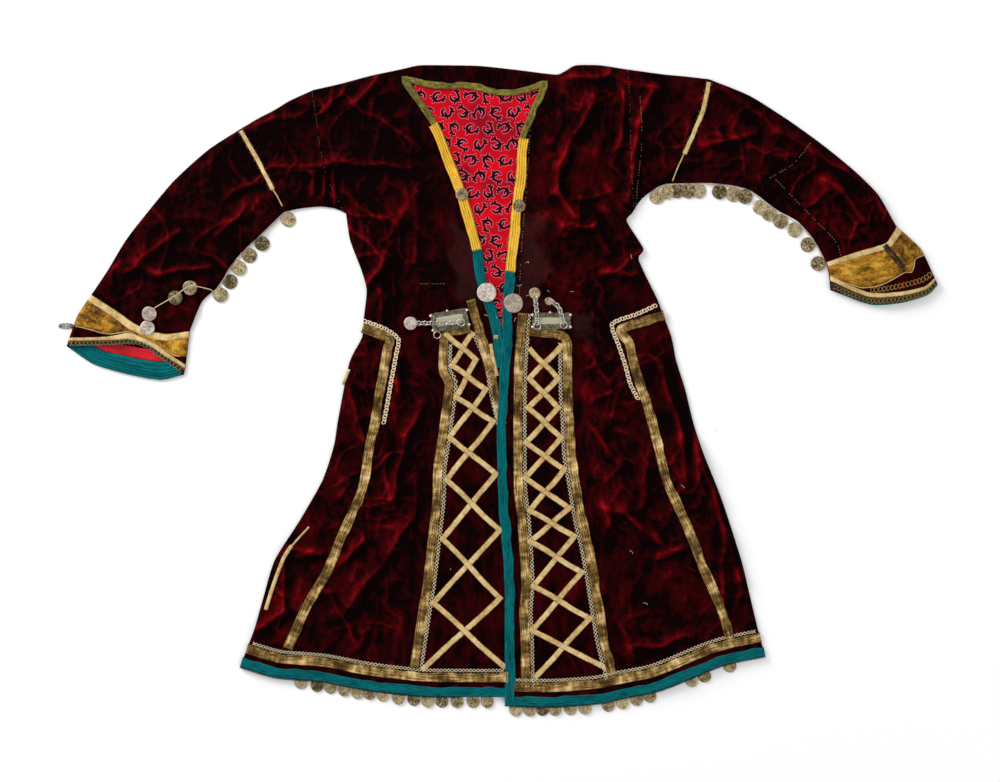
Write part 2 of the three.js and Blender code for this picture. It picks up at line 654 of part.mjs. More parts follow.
// Skirt: two fronts that meet under the binding of the left one, and a back
const hemShare = (up) => 1 - up / SKIRT_LENGTH;
const HEM_SHARES = [
  hemShare(HEM_TEAL_WIDE + HEM_BARE_WIDE + GALLOON_WIDE),
  hemShare(HEM_TEAL_WIDE + HEM_BARE_WIDE),
  hemShare(HEM_TEAL_WIDE),
];
const skirtDown = [...steps(15, 0, 0.9), ...HEM_SHARES, 1];
const underlapLine = moved(SKIRT_EDGE, UNDERLAP);
const skirtRight = frontPanel(
  {
    top: moved([...WAIST_RIGHT.slice(0, -1), [10.4, 68.2]], 0, -GAP),
    bottom: HEM_RIGHT,
    left: SKIRT_SIDE_RIGHT,
    right: underlapLine,
  },
  [0, 0.008, ...steps(11, 1 / 12, 1)],
  skirtDown,
  { left: -1, right: NEVER },
);
const skirtLeft = frontPanel(
  {
    top: moved([[10.7, 69.1], ...WAIST_LEFT.slice(1)], 0, -GAP),
    bottom: HEM_LEFT,
    left: moved(underlapLine, GAP),
    right: SKIRT_SIDE_LEFT,
  },
  [...steps(11, 0, 11 / 12), 0.992, 1],
  skirtDown,
  { left: NEVER, right: -1 },
);
addPiece("front_skirt_right", "velvet", skirtRight.sheet);
addPiece("front_skirt_left", "velvet", skirtLeft.sheet);

// Sleeves: two lengths and a cuff on each arm
const armStations = steps(4);
const forearmStations = steps(6);
const cuffStations = steps(3);
const sleeveParts = {
  sleeve_right_upper: {
    start: moved(ARMHOLE_RIGHT, -GAP), ends: [TAPE_LINE_RIGHT, TAPE_LINE_RIGHT],
    upper: ARM_TOP_RIGHT, under: ARM_UNDER_RIGHT, stations: armStations,
  },
  sleeve_right_lower: {
    start: moved(TAPE_LINE_RIGHT, -GAP, -GAP), ends: [CUFF_LINE_RIGHT, CUFF_LINE_RIGHT],
    upper: FOREARM_TOP_RIGHT, under: FOREARM_UNDER_RIGHT, stations: forearmStations,
  },
  cuff_right: {
    start: moved(CUFF_LINE_RIGHT, -GAP, -GAP), ends: [CUFF_FRONT_RIGHT, CUFF_BACK_RIGHT],
    upper: CUFF_SIDE_RIGHT, under: CUFF_UNDER_RIGHT, stations: cuffStations,
  },
  sleeve_left_upper: {
    start: moved(ARMHOLE_LEFT, GAP), ends: [TAPE_LINE_LEFT, TAPE_LINE_LEFT],
    upper: ARM_TOP_LEFT, under: ARM_UNDER_LEFT, stations: armStations,
  },
  sleeve_left_lower: {
    start: moved(TAPE_LINE_LEFT, GAP, GAP / 2), ends: [CUFF_LINE_LEFT, CUFF_LINE_LEFT],
    upper: FOREARM_TOP_LEFT, under: FOREARM_UNDER_LEFT, stations: forearmStations,
  },
  cuff_left: {
    start: moved(CUFF_LINE_LEFT, GAP, -GAP), ends: [CUFF_FRONT_LEFT, CUFF_FRONT_LEFT],
    upper: CUFF_SIDE_LEFT, under: CUFF_UNDER_LEFT, stations: cuffStations,
  },
};
const tubes = {};
for (const [name, part] of Object.entries(sleeveParts)) {
  tubes[name] = laidTube({ ...part, count: 8 });
  addPiece(name, "velvet", tubes[name].solid);
}

// Cream tape over the seam of each sleeve, cut from the sleeve's own upper face
function sleeveCover(place, stations, count = 8) {
  const grid = gridOf(place, [0.02, ...steps(count - 2, 1 / count, 1 - 1 / count), 0.98], stations);
  return sheetSolid(
    grid,
    (x, y) => TRIM_LOW + foldHeight(x, y),
    (x, y) => TRIM_TOP + foldHeight(x, y),
  );
}
for (const [side, line, away] of [["right", TAPE_LINE_RIGHT, -1], ["left", TAPE_LINE_LEFT, 1]]) {
  const cover = sleeveCover(tubes[`sleeve_${side}_lower`].place, forearmStations);
  const outline = [...moved(line, away), ...moved(line, away * (SLEEVE_TAPE_WIDE + 1)).reverse()];
  addPiece(`sleeve_tape_${side}`, "cream", cover.intersect(blockOver(outline, ...TALL)));
}

// A band round a cuff, between two lines that each lie some way down the cuff from its top
function cuffBand(place, near, far) {
  const shares = steps(10, 0.03, 0.97);
  const edge = (distance) =>
    shares.map((s) => {
      const long = new THREE.Vector2(...place(s, 0)).distanceTo(new THREE.Vector2(...place(s, 1)));
      return place(s, distance(long, s) / long);
    });
  return blockOver([...edge(near), ...edge(far).reverse()], TRIM_LOW, TRIM_TOP);
}
const CUFF_TAPE = 7;
const CUFF_BRAID = [1, 12];
const CUFF_LOW_TAPE = [12.5, 19.5];
const CUFF_BROCADE_EDGE = 24;
const FULL_CUFF = 33;
// A short stretch, such as the notch of the right cuff, squeezes its bands together
const squeezed = (long) => Math.min(1, long / FULL_CUFF);
const fromEdge = (distance) => (long) => long - distance * squeezed(long);
const fromTop = (distance) => (long) => distance * squeezed(long);
// How deep the brocade of the left cuff reaches, from its upper to its under fold
const BROCADE_DEPTH_LEFT = [[56, 0], [54, 0], [42, 0], [42, 0], [13, 0]];
const brocadeEnd = {
  right: fromEdge(CUFF_BROCADE_EDGE),
  left: (long, s) => placeOn(BROCADE_DEPTH_LEFT, s)[0],
};
for (const side of ["right", "left"]) {
  const { place } = tubes[`cuff_${side}`];
  addPiece(`cuff_${side}_top_tape`, "cream", cuffBand(place, fromTop(0.6), fromTop(CUFF_TAPE)));
  addPiece(`cuff_${side}_brocade`, "brocade", cuffBand(place, fromTop(CUFF_TAPE + GAP), brocadeEnd[side]));
  addPiece(
    `cuff_${side}_low_tape`,
    "cream",
    cuffBand(place, fromEdge(CUFF_LOW_TAPE[1]), fromEdge(CUFF_LOW_TAPE[0])),
  );
  addPiece(
    `cuff_${side}_scroll_braid`,
    "scroll",
    cuffBand(place, fromEdge(CUFF_BRAID[1]), fromEdge(CUFF_BRAID[0])),
  );
}

// Inside the right cuff, where its edge stands back: quilted facing and the lining above it
const FACING_WIDE = 20;
const LINING_SHOWS = 48;
function insideCuff([s0, s1], near, far) {
  const { backPlace } = tubes.cuff_right;
  const shares = steps(8, s0, s1);
  const edge = (distance) =>
    shares.map((s) => {
      const long = new THREE.Vector2(...backPlace(s, 0)).distanceTo(new THREE.Vector2(...backPlace(s, 1)));
      return backPlace(s, 1 - distance / long);
    });
  return blockOver([...edge(near), ...edge(far).reverse()], liningLow, liningLow + LINING_THICK);
}
addPiece("cuff_right_facing", "teal", insideCuff([0.07, 0.93], 0.5, FACING_WIDE));
addPiece("cuff_right_lining", "lining", insideCuff([0.2, 0.8], FACING_WIDE + 4 * GAP, LINING_SHOWS));

// A strip of an edge or line as an upright block, from one distance beside it to another
function bandBlock(line, from, to, low = TRIM_LOW, high = TRIM_TOP) {
  return blockOver([...beside(line, from), ...beside(line, to).reverse()], low, high);
}
const centred = (line, wide, ...heights) => bandBlock(line, -wide / 2, wide / 2, ...heights);

// The stretch of a falling line between two heights
function fallBetween(line, fromY, toY) {
  const cutAt = (y) => {
    const i = Math.min(line.length - 2, line.findIndex((row, k) => k + 1 < line.length && line[k + 1][1] <= y));
    const [a, b] = [line[i], line[i + 1]];
    return [a[0] + ((y - a[1]) / (b[1] - a[1])) * (b[0] - a[0]), y];
  };
  return [cutAt(fromY), ...line.filter(([, y]) => y < fromY - 1 && y > toY + 1), cutAt(toY)];
}

// Bindings of the neck and the front edges: olive, then yellow, then teal down each edge
const leftEdge = [...EDGE_LEFT, ...SKIRT_EDGE.slice(1)];
const rightEdge = [...EDGE_RIGHT.slice(0, -1), [4, 69], [8, 20]];
const RUNS = {
  right: { line: rightEdge, outward: -1, ends: [461, 390, 202, 25] },
  left: { line: leftEdge, outward: 1, ends: [454, 367, 168, -482.9] },
};
// One run of an edge's binding, cut square where the run above it stops
function bindingRun({ line, outward, ends }, i, wide, spare = 0, ...heights) {
  const sides = [-spare, wide + spare].map((d) => d * outward).sort((a, b) => a - b);
  const lap = i > 0 ? 3 : 0;
  const run = bandBlock(fallBetween(line, ends[i] + lap, ends[i + 1]), ...sides, ...heights);
  if (i === 0) return run;
  return run.subtract(bandBlock(fallBetween(line, ends[i] + 8, ends[i] - GAP), -25, 25, ...TALL));
}
const necklineCorners = [[-146, 456], ...BACK_NECKLINE.slice(1, -1), [70, 448]];
const olive = bandBlock(necklineCorners, 0, OLIVE_WIDE)
  .add(bindingRun(RUNS.right, 0, OLIVE_WIDE))
  .add(bindingRun(RUNS.left, 0, OLIVE_WIDE));
addPiece("neck_binding", "olive", olive);
addPiece("yellow_binding_right", "yellow", bindingRun(RUNS.right, 1, YELLOW_WIDE));
addPiece("yellow_binding_left", "yellow", bindingRun(RUNS.left, 1, YELLOW_WIDE));
const offTealLeft = bindingRun(RUNS.left, 2, TEAL_WIDE, GAP, ...TALL);
const offTealRight = bindingRun(RUNS.right, 2, TEAL_WIDE, GAP, ...TALL);
addPiece("teal_binding_left", "teal", bindingRun(RUNS.left, 2, TEAL_WIDE));
addPiece("teal_binding_right", "teal", bindingRun(RUNS.right, 2, TEAL_WIDE).subtract(offTealLeft));

// Hem: teal binding at the edge, bare velvet, then metal galloon
const panels = { right: skirtRight, left: skirtLeft };
const HEM_SPAN = [0.004, 0.996];
const offHemGalloon = {};
for (const side of ["right", "left"]) {
  const { place, cover } = panels[side];
  const galloonShares = [HEM_SHARES[0], HEM_SHARES[1]];
  const block = stretchOf(place, HEM_SPAN, galloonShares, 16);
  const bindingBlock = stretchOf(place, HEM_SPAN, [HEM_SHARES[2], 1.001], 16);
  const margin = GAP / SKIRT_LENGTH;
  const keptOff = [galloonShares[0] - 1.5 * margin, galloonShares[1] + 0.05];
  offHemGalloon[side] = stretchOf(place, [0, 1], keptOff, 16);
  addPiece(`hem_galloon_${side}`, "galloon", cover.intersect(block).subtract(offTealLeft));
  addPiece(`hem_binding_${side}`, "teal", cover.intersect(bindingBlock).subtract(offTealLeft));
}

// Galloon beside the lattice panels and down the sides of the skirt
const galloonRightInner = centred(GALLOON_INNER_RIGHT, GALLOON_WIDE - 1, TRIM_LOW, TRIM_TOP)
  .subtract(offTealLeft)
  .subtract(offTealRight);
addPiece("galloon_inner_right", "galloon", galloonRightInner);
addPiece(
  "galloon_outer_right",
  "galloon",
  centred(GALLOON_OUTER_RIGHT, GALLOON_WIDE).subtract(offHemGalloon.right).subtract(offTealRight),
);
addPiece(
  "galloon_inner_left",
  "galloon",
  centred(GALLOON_INNER_LEFT, GALLOON_WIDE).subtract(offHemGalloon.left).subtract(offTealLeft),
);
const offInnerLeft = centred(GALLOON_INNER_LEFT, GALLOON_WIDE + 2 * GAP, ...TALL);
const offInnerRight = centred(GALLOON_INNER_RIGHT, GALLOON_WIDE - 1 + 2 * GAP, ...TALL);
addPiece(
  "galloon_outer_left",
  "galloon",
  centred(GALLOON_OUTER_LEFT, GALLOON_WIDE).subtract(offHemGalloon.left).subtract(offInnerLeft),
);
const sideTrim = {
  right: { galloon: SIDE_GALLOON_RIGHT, chain: CHAIN_BRAID_RIGHT },
  left: { galloon: SIDE_GALLOON_LEFT, chain: CHAIN_BRAID_LEFT },
};
for (const side of ["right", "left"]) {
  const { cover } = panels[side];
  const lines = sideTrim[side];
  addPiece(
    `side_galloon_${side}`,
    "galloon",
    cover.intersect(centred(lines.galloon, GALLOON_WIDE, ...TALL)).subtract(offHemGalloon[side]),
  );
  addPiece(
    `chain_braid_${side}`,
    "silver",
    cover
      .intersect(centred(lines.chain, CHAIN_BRAID_WIDE, ...TALL))
      .subtract(centred(lines.galloon, GALLOON_WIDE + 2 * GAP, ...TALL)),
  );
}

// Lattice of crossing tapes between the galloons of each front
function lattice(lines, ...keepOff) {
  let net = centred(lines[0], TAPE_WIDE).add(centred(lines[1], TAPE_WIDE));
  for (const block of keepOff) net = net.subtract(block);
  return net;
}
const offOuter = (line) => centred(line, GALLOON_WIDE + 2 * GAP, ...TALL);
addPiece(
  "lattice_right",
  "cream",
  lattice(
    LATTICE_RIGHT,
    offOuter(GALLOON_OUTER_RIGHT),
    offInnerRight,
    offTealLeft,
    offTealRight,
    offHemGalloon.right,
  ),
);
addPiece(
  "lattice_left",
  "cream",
  lattice(LATTICE_LEFT, offOuter(GALLOON_OUTER_LEFT), offInnerLeft, offTealLeft, offHemGalloon.left),
);

// Plaques at the top of the lattice panels, and what swings from them.
// Each pendant is a ring in an eye, a chain and a coin.
const PENDANT_LOW = RING_HEIGHT - 0.9;
const EYES = {
  right_coin: [-52.8, 92, "y"],
  right_ring: [-94, 78.5, "x"],
  left_coin: [55.5, 81.5, "x"],
  left_chain: [95.4, 83, "x"],
};
addPiece(
  "plaque_right",
  "silver",
  plaque({ x: -75, y: 95.5, long: 55, high: 28, turn: 0.16, eyes: [EYES.right_coin, EYES.right_ring] }),
);
addPiece(
  "plaque_left",
  "silver",
  plaque({ x: 77, y: 94.5, long: 57, high: 24, turn: 0, eyes: [EYES.left_coin, EYES.left_chain] }),
);

function pendant([ex, ey], [dx, dy], rows, coin) {
  const ring = wireRing(ex + dx * RING_RADIUS, ey + dy * RING_RADIUS, RING_HEIGHT, RING_RADIUS, RING_WIRE);
  let solid = ring;
  if (rows.length) solid = solid.add(chainStrip(rows));
  if (coin) solid = solid.add(coinAt(...coin));
  return solid;
}
addPiece(
  "pendant_right_coin",
  "silver",
  pendant(
    EYES.right_coin,
    [-1, 0],
    [[-63, 92, PENDANT_LOW], [-104, 91, PENDANT_LOW], [-116, 91, TRIM_LOW + 0.6], [-126, 91, TRIM_LOW]],
    [-134, 91, 9.9, TRIM_LOW],
  ),
);
addPiece("pendant_right_ring", "silver", pendant(EYES.right_ring, [0, -1], [], null));
addPiece(
  "pendant_left_coin",
  "silver",
  pendant(
    EYES.left_coin,
    [0, 1],
    [[55.5, 91.8, PENDANT_LOW], [55, 108, PENDANT_LOW], [54, 118, TRIM_LOW + 0.6], [53, 128, TRIM_LOW]],
    [52, 136, 8.5, TRIM_LOW],
  ),
);
addPiece(
  "pendant_left_chain",
  "silver",
  pendant(
    EYES.left_chain,
    [0, 1],
    [[94, 93, PENDANT_LOW], [91, 107, PENDANT_LOW], [87, 116, TRIM_LOW + 0.6], [78, 123, TRIM_LOW]],
    [73, 124, 6, TRIM_LOW],
  ),
);

// Coins on the bindings
const onBinding = TRIM_TOP + GAP;
addPiece("breast_coin_right", "coin", coinAt(-57, 284, BREAST_COIN, onBinding));
addPiece("breast_coin_left", "coin", coinAt(29, 267, BREAST_COIN, onBinding));
addPiece("waist_coin_right", "silver", coinAt(-20, 137, WAIST_COIN, onBinding, 16));
addPiece("waist_coin_left", "silver", coinAt(20, 121, WAIST_COIN, onBinding, 16));

// Strings of coins under the arms, sewn to a thread beside the sleeve's under fold.
// From a fold, seen from a coin: the coin's distance out from it, and the place at any distance.
function fromFold(line, [x, y]) {
  let best = null;
  line.slice(1).forEach((b, i) => {
    const a = line[i];
    const along = new THREE.Vector2(b[0] - a[0], b[1] - a[1]);
    const t = ((x - a[0]) * along.x + (y - a[1]) * along.y) / along.lengthSq();
    const share = Math.min(1, Math.max(0, t));
    const near = [a[0] + share * along.x, a[1] + share * along.y];
    const away = Math.hypot(x - near[0], y - near[1]);
    if (!best || away < best.away) best = { away, near, along };
  });
  const out = new THREE.Vector2(best.along.y, -best.along.x).normalize();
  if (out.y > 0) out.negate();
  return {
    reach: (x - best.near[0]) * out.x + (y - best.near[1]) * out.y,
    at: (distance) => [best.near[0] + out.x * distance, best.near[1] + out.y * distance],
  };
}
const SEAT = SLEEVE_COIN + 0.6;
const THREAD_OUT = 1.5;
const underRight = [...ARM_UNDER_RIGHT, ...FOREARM_UNDER_RIGHT.slice(1)];
const underLeft = [...ARM_UNDER_LEFT, ...FOREARM_UNDER_LEFT.slice(1)];
function armString(line, coins, end = []) {
  const folds = coins.map((coin) => fromFold(line, coin));
  const hung = folds.map(({ reach, at }) => at(THREE.MathUtils.clamp(reach, SEAT, SEAT + 1)));
  const thread = folds.map(({ at }) => at(THREAD_OUT));
  return coinString(hung, SLEEVE_COIN, 0, [...thread, ...end], COIN_THICK);
}
addPiece("arm_coins_left", "coin", armString(underLeft, COINS_ARM_LEFT));
// The right string climbs over the fold of the sleeve and ends on its cuff
const climb = fromFold(underRight, [-432, 138]).at(2);
const wristTop = onBinding + COIN_THICK;
const climbPost = blockOver(
  [[-1, -1], [1, -1], [1, 1], [-1, 1]].map(([dx, dy]) => [climb[0] + dx, climb[1] + dy]),
  0,
  wristTop,
);
addPiece(
  "arm_coins_right",
  "coin",
  armString(underRight, COINS_ARM_RIGHT, [climb])
    .add(climbPost)
    .add(coinString(COINS_WRIST_RIGHT, SLEEVE_COIN, onBinding, [climb, ...COINS_WRIST_RIGHT], wristTop)),
);

// Strings of coins along the hem, their upper edges under it
const THREAD_INSIDE = 1;
function hemCoins(hem, coins) {
  const hemAt = (x) => {
    const i = Math.max(0, hem.findIndex((row, k) => k + 1 < hem.length && hem[k + 1][0] >= x));
    return hem[i][1] + ((x - hem[i][0]) / (hem[i + 1][0] - hem[i][0])) * (hem[i + 1][1] - hem[i][1]);
  };
  const thread = coins.map(([x]) => [x, hemAt(x) + THREAD_INSIDE]);
  const hung = coins.map(([x, y], i) => [x, Math.max(y, thread[i][1] - 0.85 * HEM_COIN)]);
  return coinString(hung, HEM_COIN, 0, thread, FRONT_LOW - GAP);
}
addPiece("hem_coins_right", "coin", hemCoins(HEM_RIGHT, COINS_HEM_RIGHT));
addPiece("hem_coins_left", "coin", hemCoins(HEM_LEFT, COINS_HEM_LEFT));

// Openwork silver tab beyond the fold of the right cuff
const TAB = { x: -651.2, y: 87, long: 22, high: 9, bar: 2 };
const tabBox = (x, w, h) => {
  const geometry = new THREE.BoxGeometry(w, h, COIN_THICK);
  geometry.translate(x, TAB.y, COIN_THICK / 2);
  return solidFrom(geometry);
};
let tab = tabBox(TAB.x, TAB.long, TAB.high);
for (const dx of [-6, 0, 6]) tab = tab.subtract(tabBox(TAB.x + dx, TAB.bar * 2, TAB.high - TAB.bar * 2));
addPiece("cuff_tab_right", "silver", tab);

// The part's own frame: its origin is under the middle of its box
const box = new THREE.Box3().setFromObject(group);
const middle = box.getCenter(new THREE.Vector3());
group.position.set(-middle.x, -middle.y, -box.min.z);

export default group;
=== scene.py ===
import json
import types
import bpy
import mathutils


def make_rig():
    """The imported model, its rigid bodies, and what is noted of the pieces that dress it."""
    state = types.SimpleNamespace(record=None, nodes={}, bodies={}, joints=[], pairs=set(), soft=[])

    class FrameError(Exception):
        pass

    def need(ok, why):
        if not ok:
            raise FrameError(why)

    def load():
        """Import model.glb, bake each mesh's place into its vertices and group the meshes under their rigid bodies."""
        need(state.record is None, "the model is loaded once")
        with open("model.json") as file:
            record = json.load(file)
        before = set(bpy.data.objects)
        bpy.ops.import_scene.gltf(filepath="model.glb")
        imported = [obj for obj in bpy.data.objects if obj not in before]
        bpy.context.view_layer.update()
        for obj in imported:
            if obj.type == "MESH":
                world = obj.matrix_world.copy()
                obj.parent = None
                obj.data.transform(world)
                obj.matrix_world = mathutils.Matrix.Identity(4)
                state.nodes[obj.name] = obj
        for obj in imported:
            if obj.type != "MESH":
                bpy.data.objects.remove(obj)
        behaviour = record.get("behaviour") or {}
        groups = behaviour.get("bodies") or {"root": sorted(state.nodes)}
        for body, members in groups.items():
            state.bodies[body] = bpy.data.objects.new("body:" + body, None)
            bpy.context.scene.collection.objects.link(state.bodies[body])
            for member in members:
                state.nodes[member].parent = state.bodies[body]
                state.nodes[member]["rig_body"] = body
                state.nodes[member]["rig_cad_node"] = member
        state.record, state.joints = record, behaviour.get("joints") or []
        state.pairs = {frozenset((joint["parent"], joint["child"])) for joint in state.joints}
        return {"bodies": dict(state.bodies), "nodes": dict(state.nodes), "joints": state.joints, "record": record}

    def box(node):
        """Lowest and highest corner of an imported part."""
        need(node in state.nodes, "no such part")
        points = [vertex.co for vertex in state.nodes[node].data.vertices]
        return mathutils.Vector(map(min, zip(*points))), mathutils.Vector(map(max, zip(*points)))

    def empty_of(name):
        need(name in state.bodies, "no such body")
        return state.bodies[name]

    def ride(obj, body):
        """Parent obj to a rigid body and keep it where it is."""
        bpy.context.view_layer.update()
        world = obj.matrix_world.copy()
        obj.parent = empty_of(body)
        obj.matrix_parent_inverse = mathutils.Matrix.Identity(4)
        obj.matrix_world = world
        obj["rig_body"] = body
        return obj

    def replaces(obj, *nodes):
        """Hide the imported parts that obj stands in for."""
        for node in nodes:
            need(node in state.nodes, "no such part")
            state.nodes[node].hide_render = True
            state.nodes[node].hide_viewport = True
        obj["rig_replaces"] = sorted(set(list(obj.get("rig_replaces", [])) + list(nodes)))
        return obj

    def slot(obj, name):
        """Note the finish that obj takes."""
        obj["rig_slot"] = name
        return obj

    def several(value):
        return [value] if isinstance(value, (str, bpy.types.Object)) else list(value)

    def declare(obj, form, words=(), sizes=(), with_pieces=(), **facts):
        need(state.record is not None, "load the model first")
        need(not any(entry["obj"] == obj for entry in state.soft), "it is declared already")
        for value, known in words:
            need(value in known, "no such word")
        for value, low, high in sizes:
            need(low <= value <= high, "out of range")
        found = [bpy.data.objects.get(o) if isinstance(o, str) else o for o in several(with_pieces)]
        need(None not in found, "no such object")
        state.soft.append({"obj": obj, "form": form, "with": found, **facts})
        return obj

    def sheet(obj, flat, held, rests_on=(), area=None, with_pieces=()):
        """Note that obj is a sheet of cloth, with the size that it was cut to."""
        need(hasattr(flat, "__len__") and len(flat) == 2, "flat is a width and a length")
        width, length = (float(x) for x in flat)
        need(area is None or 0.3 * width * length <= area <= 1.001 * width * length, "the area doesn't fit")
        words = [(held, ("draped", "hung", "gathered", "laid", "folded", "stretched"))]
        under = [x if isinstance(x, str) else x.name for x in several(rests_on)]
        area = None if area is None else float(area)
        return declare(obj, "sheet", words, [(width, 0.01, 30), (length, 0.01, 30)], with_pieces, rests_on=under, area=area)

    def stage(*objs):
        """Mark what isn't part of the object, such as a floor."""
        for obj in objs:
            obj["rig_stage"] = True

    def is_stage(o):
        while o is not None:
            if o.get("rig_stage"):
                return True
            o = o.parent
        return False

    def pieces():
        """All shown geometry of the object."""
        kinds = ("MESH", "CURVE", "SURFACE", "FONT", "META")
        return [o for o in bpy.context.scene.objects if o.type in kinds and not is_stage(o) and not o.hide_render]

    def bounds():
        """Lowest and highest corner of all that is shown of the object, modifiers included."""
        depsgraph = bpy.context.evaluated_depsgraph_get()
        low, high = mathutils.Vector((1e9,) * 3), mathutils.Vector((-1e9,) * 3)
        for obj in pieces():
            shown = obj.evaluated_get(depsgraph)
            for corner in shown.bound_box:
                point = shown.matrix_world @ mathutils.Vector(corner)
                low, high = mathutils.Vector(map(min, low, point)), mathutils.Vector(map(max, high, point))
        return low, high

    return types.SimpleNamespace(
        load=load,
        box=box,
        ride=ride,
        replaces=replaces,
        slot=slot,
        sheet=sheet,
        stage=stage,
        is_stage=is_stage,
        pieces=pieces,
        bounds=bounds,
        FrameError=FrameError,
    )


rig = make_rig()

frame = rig.load()

import json
import math

import bpy
import numpy as np
from mathutils import Vector

cad_low, cad_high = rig.bounds()

# The coat lies flat on white, front up, and the camera looks straight down on it.
# Its pattern is drawn in millimetres: x to the wearer's left, y to the neck, z off the table.
# One waist coin, known in the pattern and in the frame, lays the pattern onto the frame.
MM = 0.001
PHOTO_WIDE_MM = 1500
PHOTO_MIDDLE = (0, -10.5)
CAMERA_HEIGHT = 4.2
SENSOR_WIDE_MM = 36
WAIST_COIN_RIGHT_AT = (-20, 137)

coin_low, coin_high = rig.box("waist_coin_right")
shift_x = (coin_low[0] + coin_high[0]) / 2 / MM - WAIST_COIN_RIGHT_AT[0]
shift_y = (coin_low[1] + coin_high[1]) / 2 / MM - WAIST_COIN_RIGHT_AT[1]


def in_frame(x, y, z):
    """Pattern millimetres as metres of the frame, for numbers or whole arrays."""
    return np.stack([(x + shift_x) * MM, (y + shift_y) * MM, z * MM + 0 * x], axis=-1)


middle = in_frame(*[np.float64(v) for v in (*PHOTO_MIDDLE, 0)])
camera = bpy.data.objects.new("camera", bpy.data.cameras.new("camera"))
camera.data.sensor_width = SENSOR_WIDE_MM
camera.data.lens = SENSOR_WIDE_MM * CAMERA_HEIGHT / (PHOTO_WIDE_MM * MM)
camera.location = (middle[0], middle[1], CAMERA_HEIGHT)
bpy.context.collection.objects.link(camera)
bpy.context.scene.camera = camera

# Soft studio light: a pale world all round, a window at the upper left, and a weaker fill opposite.
WORLD_LIGHT = 0.62
world = bpy.data.worlds.new("studio")
bpy.context.scene.world = world
world.use_nodes = True
world.node_tree.nodes["Background"].inputs["Color"].default_value = (1, 1, 1, 1)
world.node_tree.nodes["Background"].inputs["Strength"].default_value = WORLD_LIGHT

# name, place in metres, size in metres, watts
for name, place, size, watts in [
    ("window", (-2.2, 1.9, 1.5), 1.5, 95),
    ("fill", (2.4, -1.2, 2.2), 2.4, 30),
]:
    lamp = bpy.data.objects.new(name, bpy.data.lights.new(name, "AREA"))
    lamp.data.energy = watts
    lamp.data.size = size
    lamp.location = place
    lamp.rotation_euler = (Vector((0, 0, 0)) - Vector(place)).to_track_quat("-Z", "Y").to_euler()
    bpy.context.collection.objects.link(lamp)

# Table: a sheet of white paper under the coat, far wider than the photo and a hair lower than the coat.
FLOOR_HALF = 6.0
FLOOR_Z = -0.0004


def new_material(name, roughness, metallic=0.0, specular=0.5):
    """A material, its node tree, and its shader with the finish that is the same all over."""
    material = bpy.data.materials.new(name)
    material.use_nodes = True
    shader = material.node_tree.nodes["Principled BSDF"]
    shader.inputs["Roughness"].default_value = roughness
    shader.inputs["Metallic"].default_value = metallic
    shader.inputs["Specular IOR Level"].default_value = specular
    return material, material.node_tree, shader


def add_node(tree, kind, inputs=(), **settings):
    """A node, with its settings and its inputs, which are numbers, colours or other nodes' outputs."""
    node = tree.nodes.new(kind)
    for key, value in settings.items():
        setattr(node, key, value)
    for key, value in dict(inputs).items():
        if isinstance(value, bpy.types.NodeSocket):
            tree.links.new(value, node.inputs[key])
        else:
            node.inputs[key].default_value = value
    return node


def noise_of(tree, place, scale, **inputs):
    """The value of a noise texture, over a place on the piece where one is given."""
    inputs = {"Scale": scale, **{key.capitalize(): value for key, value in inputs.items()}}
    if place:
        inputs["Vector"] = place
    return add_node(tree, "ShaderNodeTexNoise", inputs).outputs["Fac"]


def ramp(tree, value, stops):
    """A colour that runs through stops, each a position and a colour."""
    node = add_node(tree, "ShaderNodeValToRGB", {"Fac": value})
    elements = node.color_ramp.elements
    for element, (position, colour) in zip((elements[0], elements[1]), (stops[0], stops[-1])):
        element.position, element.color = position, (*colour, 1)
    for position, colour in stops[1:-1]:
        elements.new(position).color = (*colour, 1)
    return node.outputs["Color"]


def bump(tree, height, strength, distance, **inputs):
    """Fine relief from a height, as a normal."""
    inputs = {"Height": height, "Strength": strength, "Distance": distance, **inputs}
    return add_node(tree, "ShaderNodeBump", inputs).outputs["Normal"]


def add_object(name, material, points, faces, **attributes):
    """A mesh object from its points in frame metres, with a number for each point in each attribute."""
    groups = faces if isinstance(faces, list) else [faces]
    corners = [face for group in groups for face in np.asarray(group).tolist()]
    mesh = bpy.data.meshes.new(name)
    mesh.from_pydata(np.asarray(points).reshape(-1, 3).tolist(), [], corners)
    for key, values in attributes.items():
        mesh.attributes.new(key, "FLOAT", "POINT").data.foreach_set(
            "value", np.asarray(values, dtype=np.float32).ravel()
        )
    mesh.shade_smooth()
    if material:
        mesh.materials.append(material)
    thing = bpy.data.objects.new(name, mesh)
    bpy.context.collection.objects.link(thing)
    return thing


paper, tree, shader = new_material("white_paper", 0.9, specular=0.1)
mottle = noise_of(tree, None, 3.0)
tint = add_node(tree, "ShaderNodeMapRange", {"Value": mottle, "To Min": 0.94, "To Max": 0.96})
tree.links.new(tint.outputs["Result"], shader.inputs["Base Color"])
bpy.context.scene.view_settings.view_transform = "Standard"
floor = add_object(
    "table",
    paper,
    [(sx * FLOOR_HALF, sy * FLOOR_HALF, FLOOR_Z) for sx, sy in [(-1, -1), (1, -1), (1, 1), (-1, 1)]],
    np.array([(0, 1, 2, 3)]),
)
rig.stage(floor)

# How the velvet lies: the height of its top over the table, in millimetres, at any place.
# Large soft folds fall from the shoulders, elbows and waist, and the pile is crushed into
# crooked creases, except where the trim of the two front panels holds the cloth smooth.
FRONT_TOP = 5.2
SEAM_DIP = 1.1
SEAM_WIDE = 2.6
EDGE_ROLL = 6.5
EDGE_LOW = 1.0

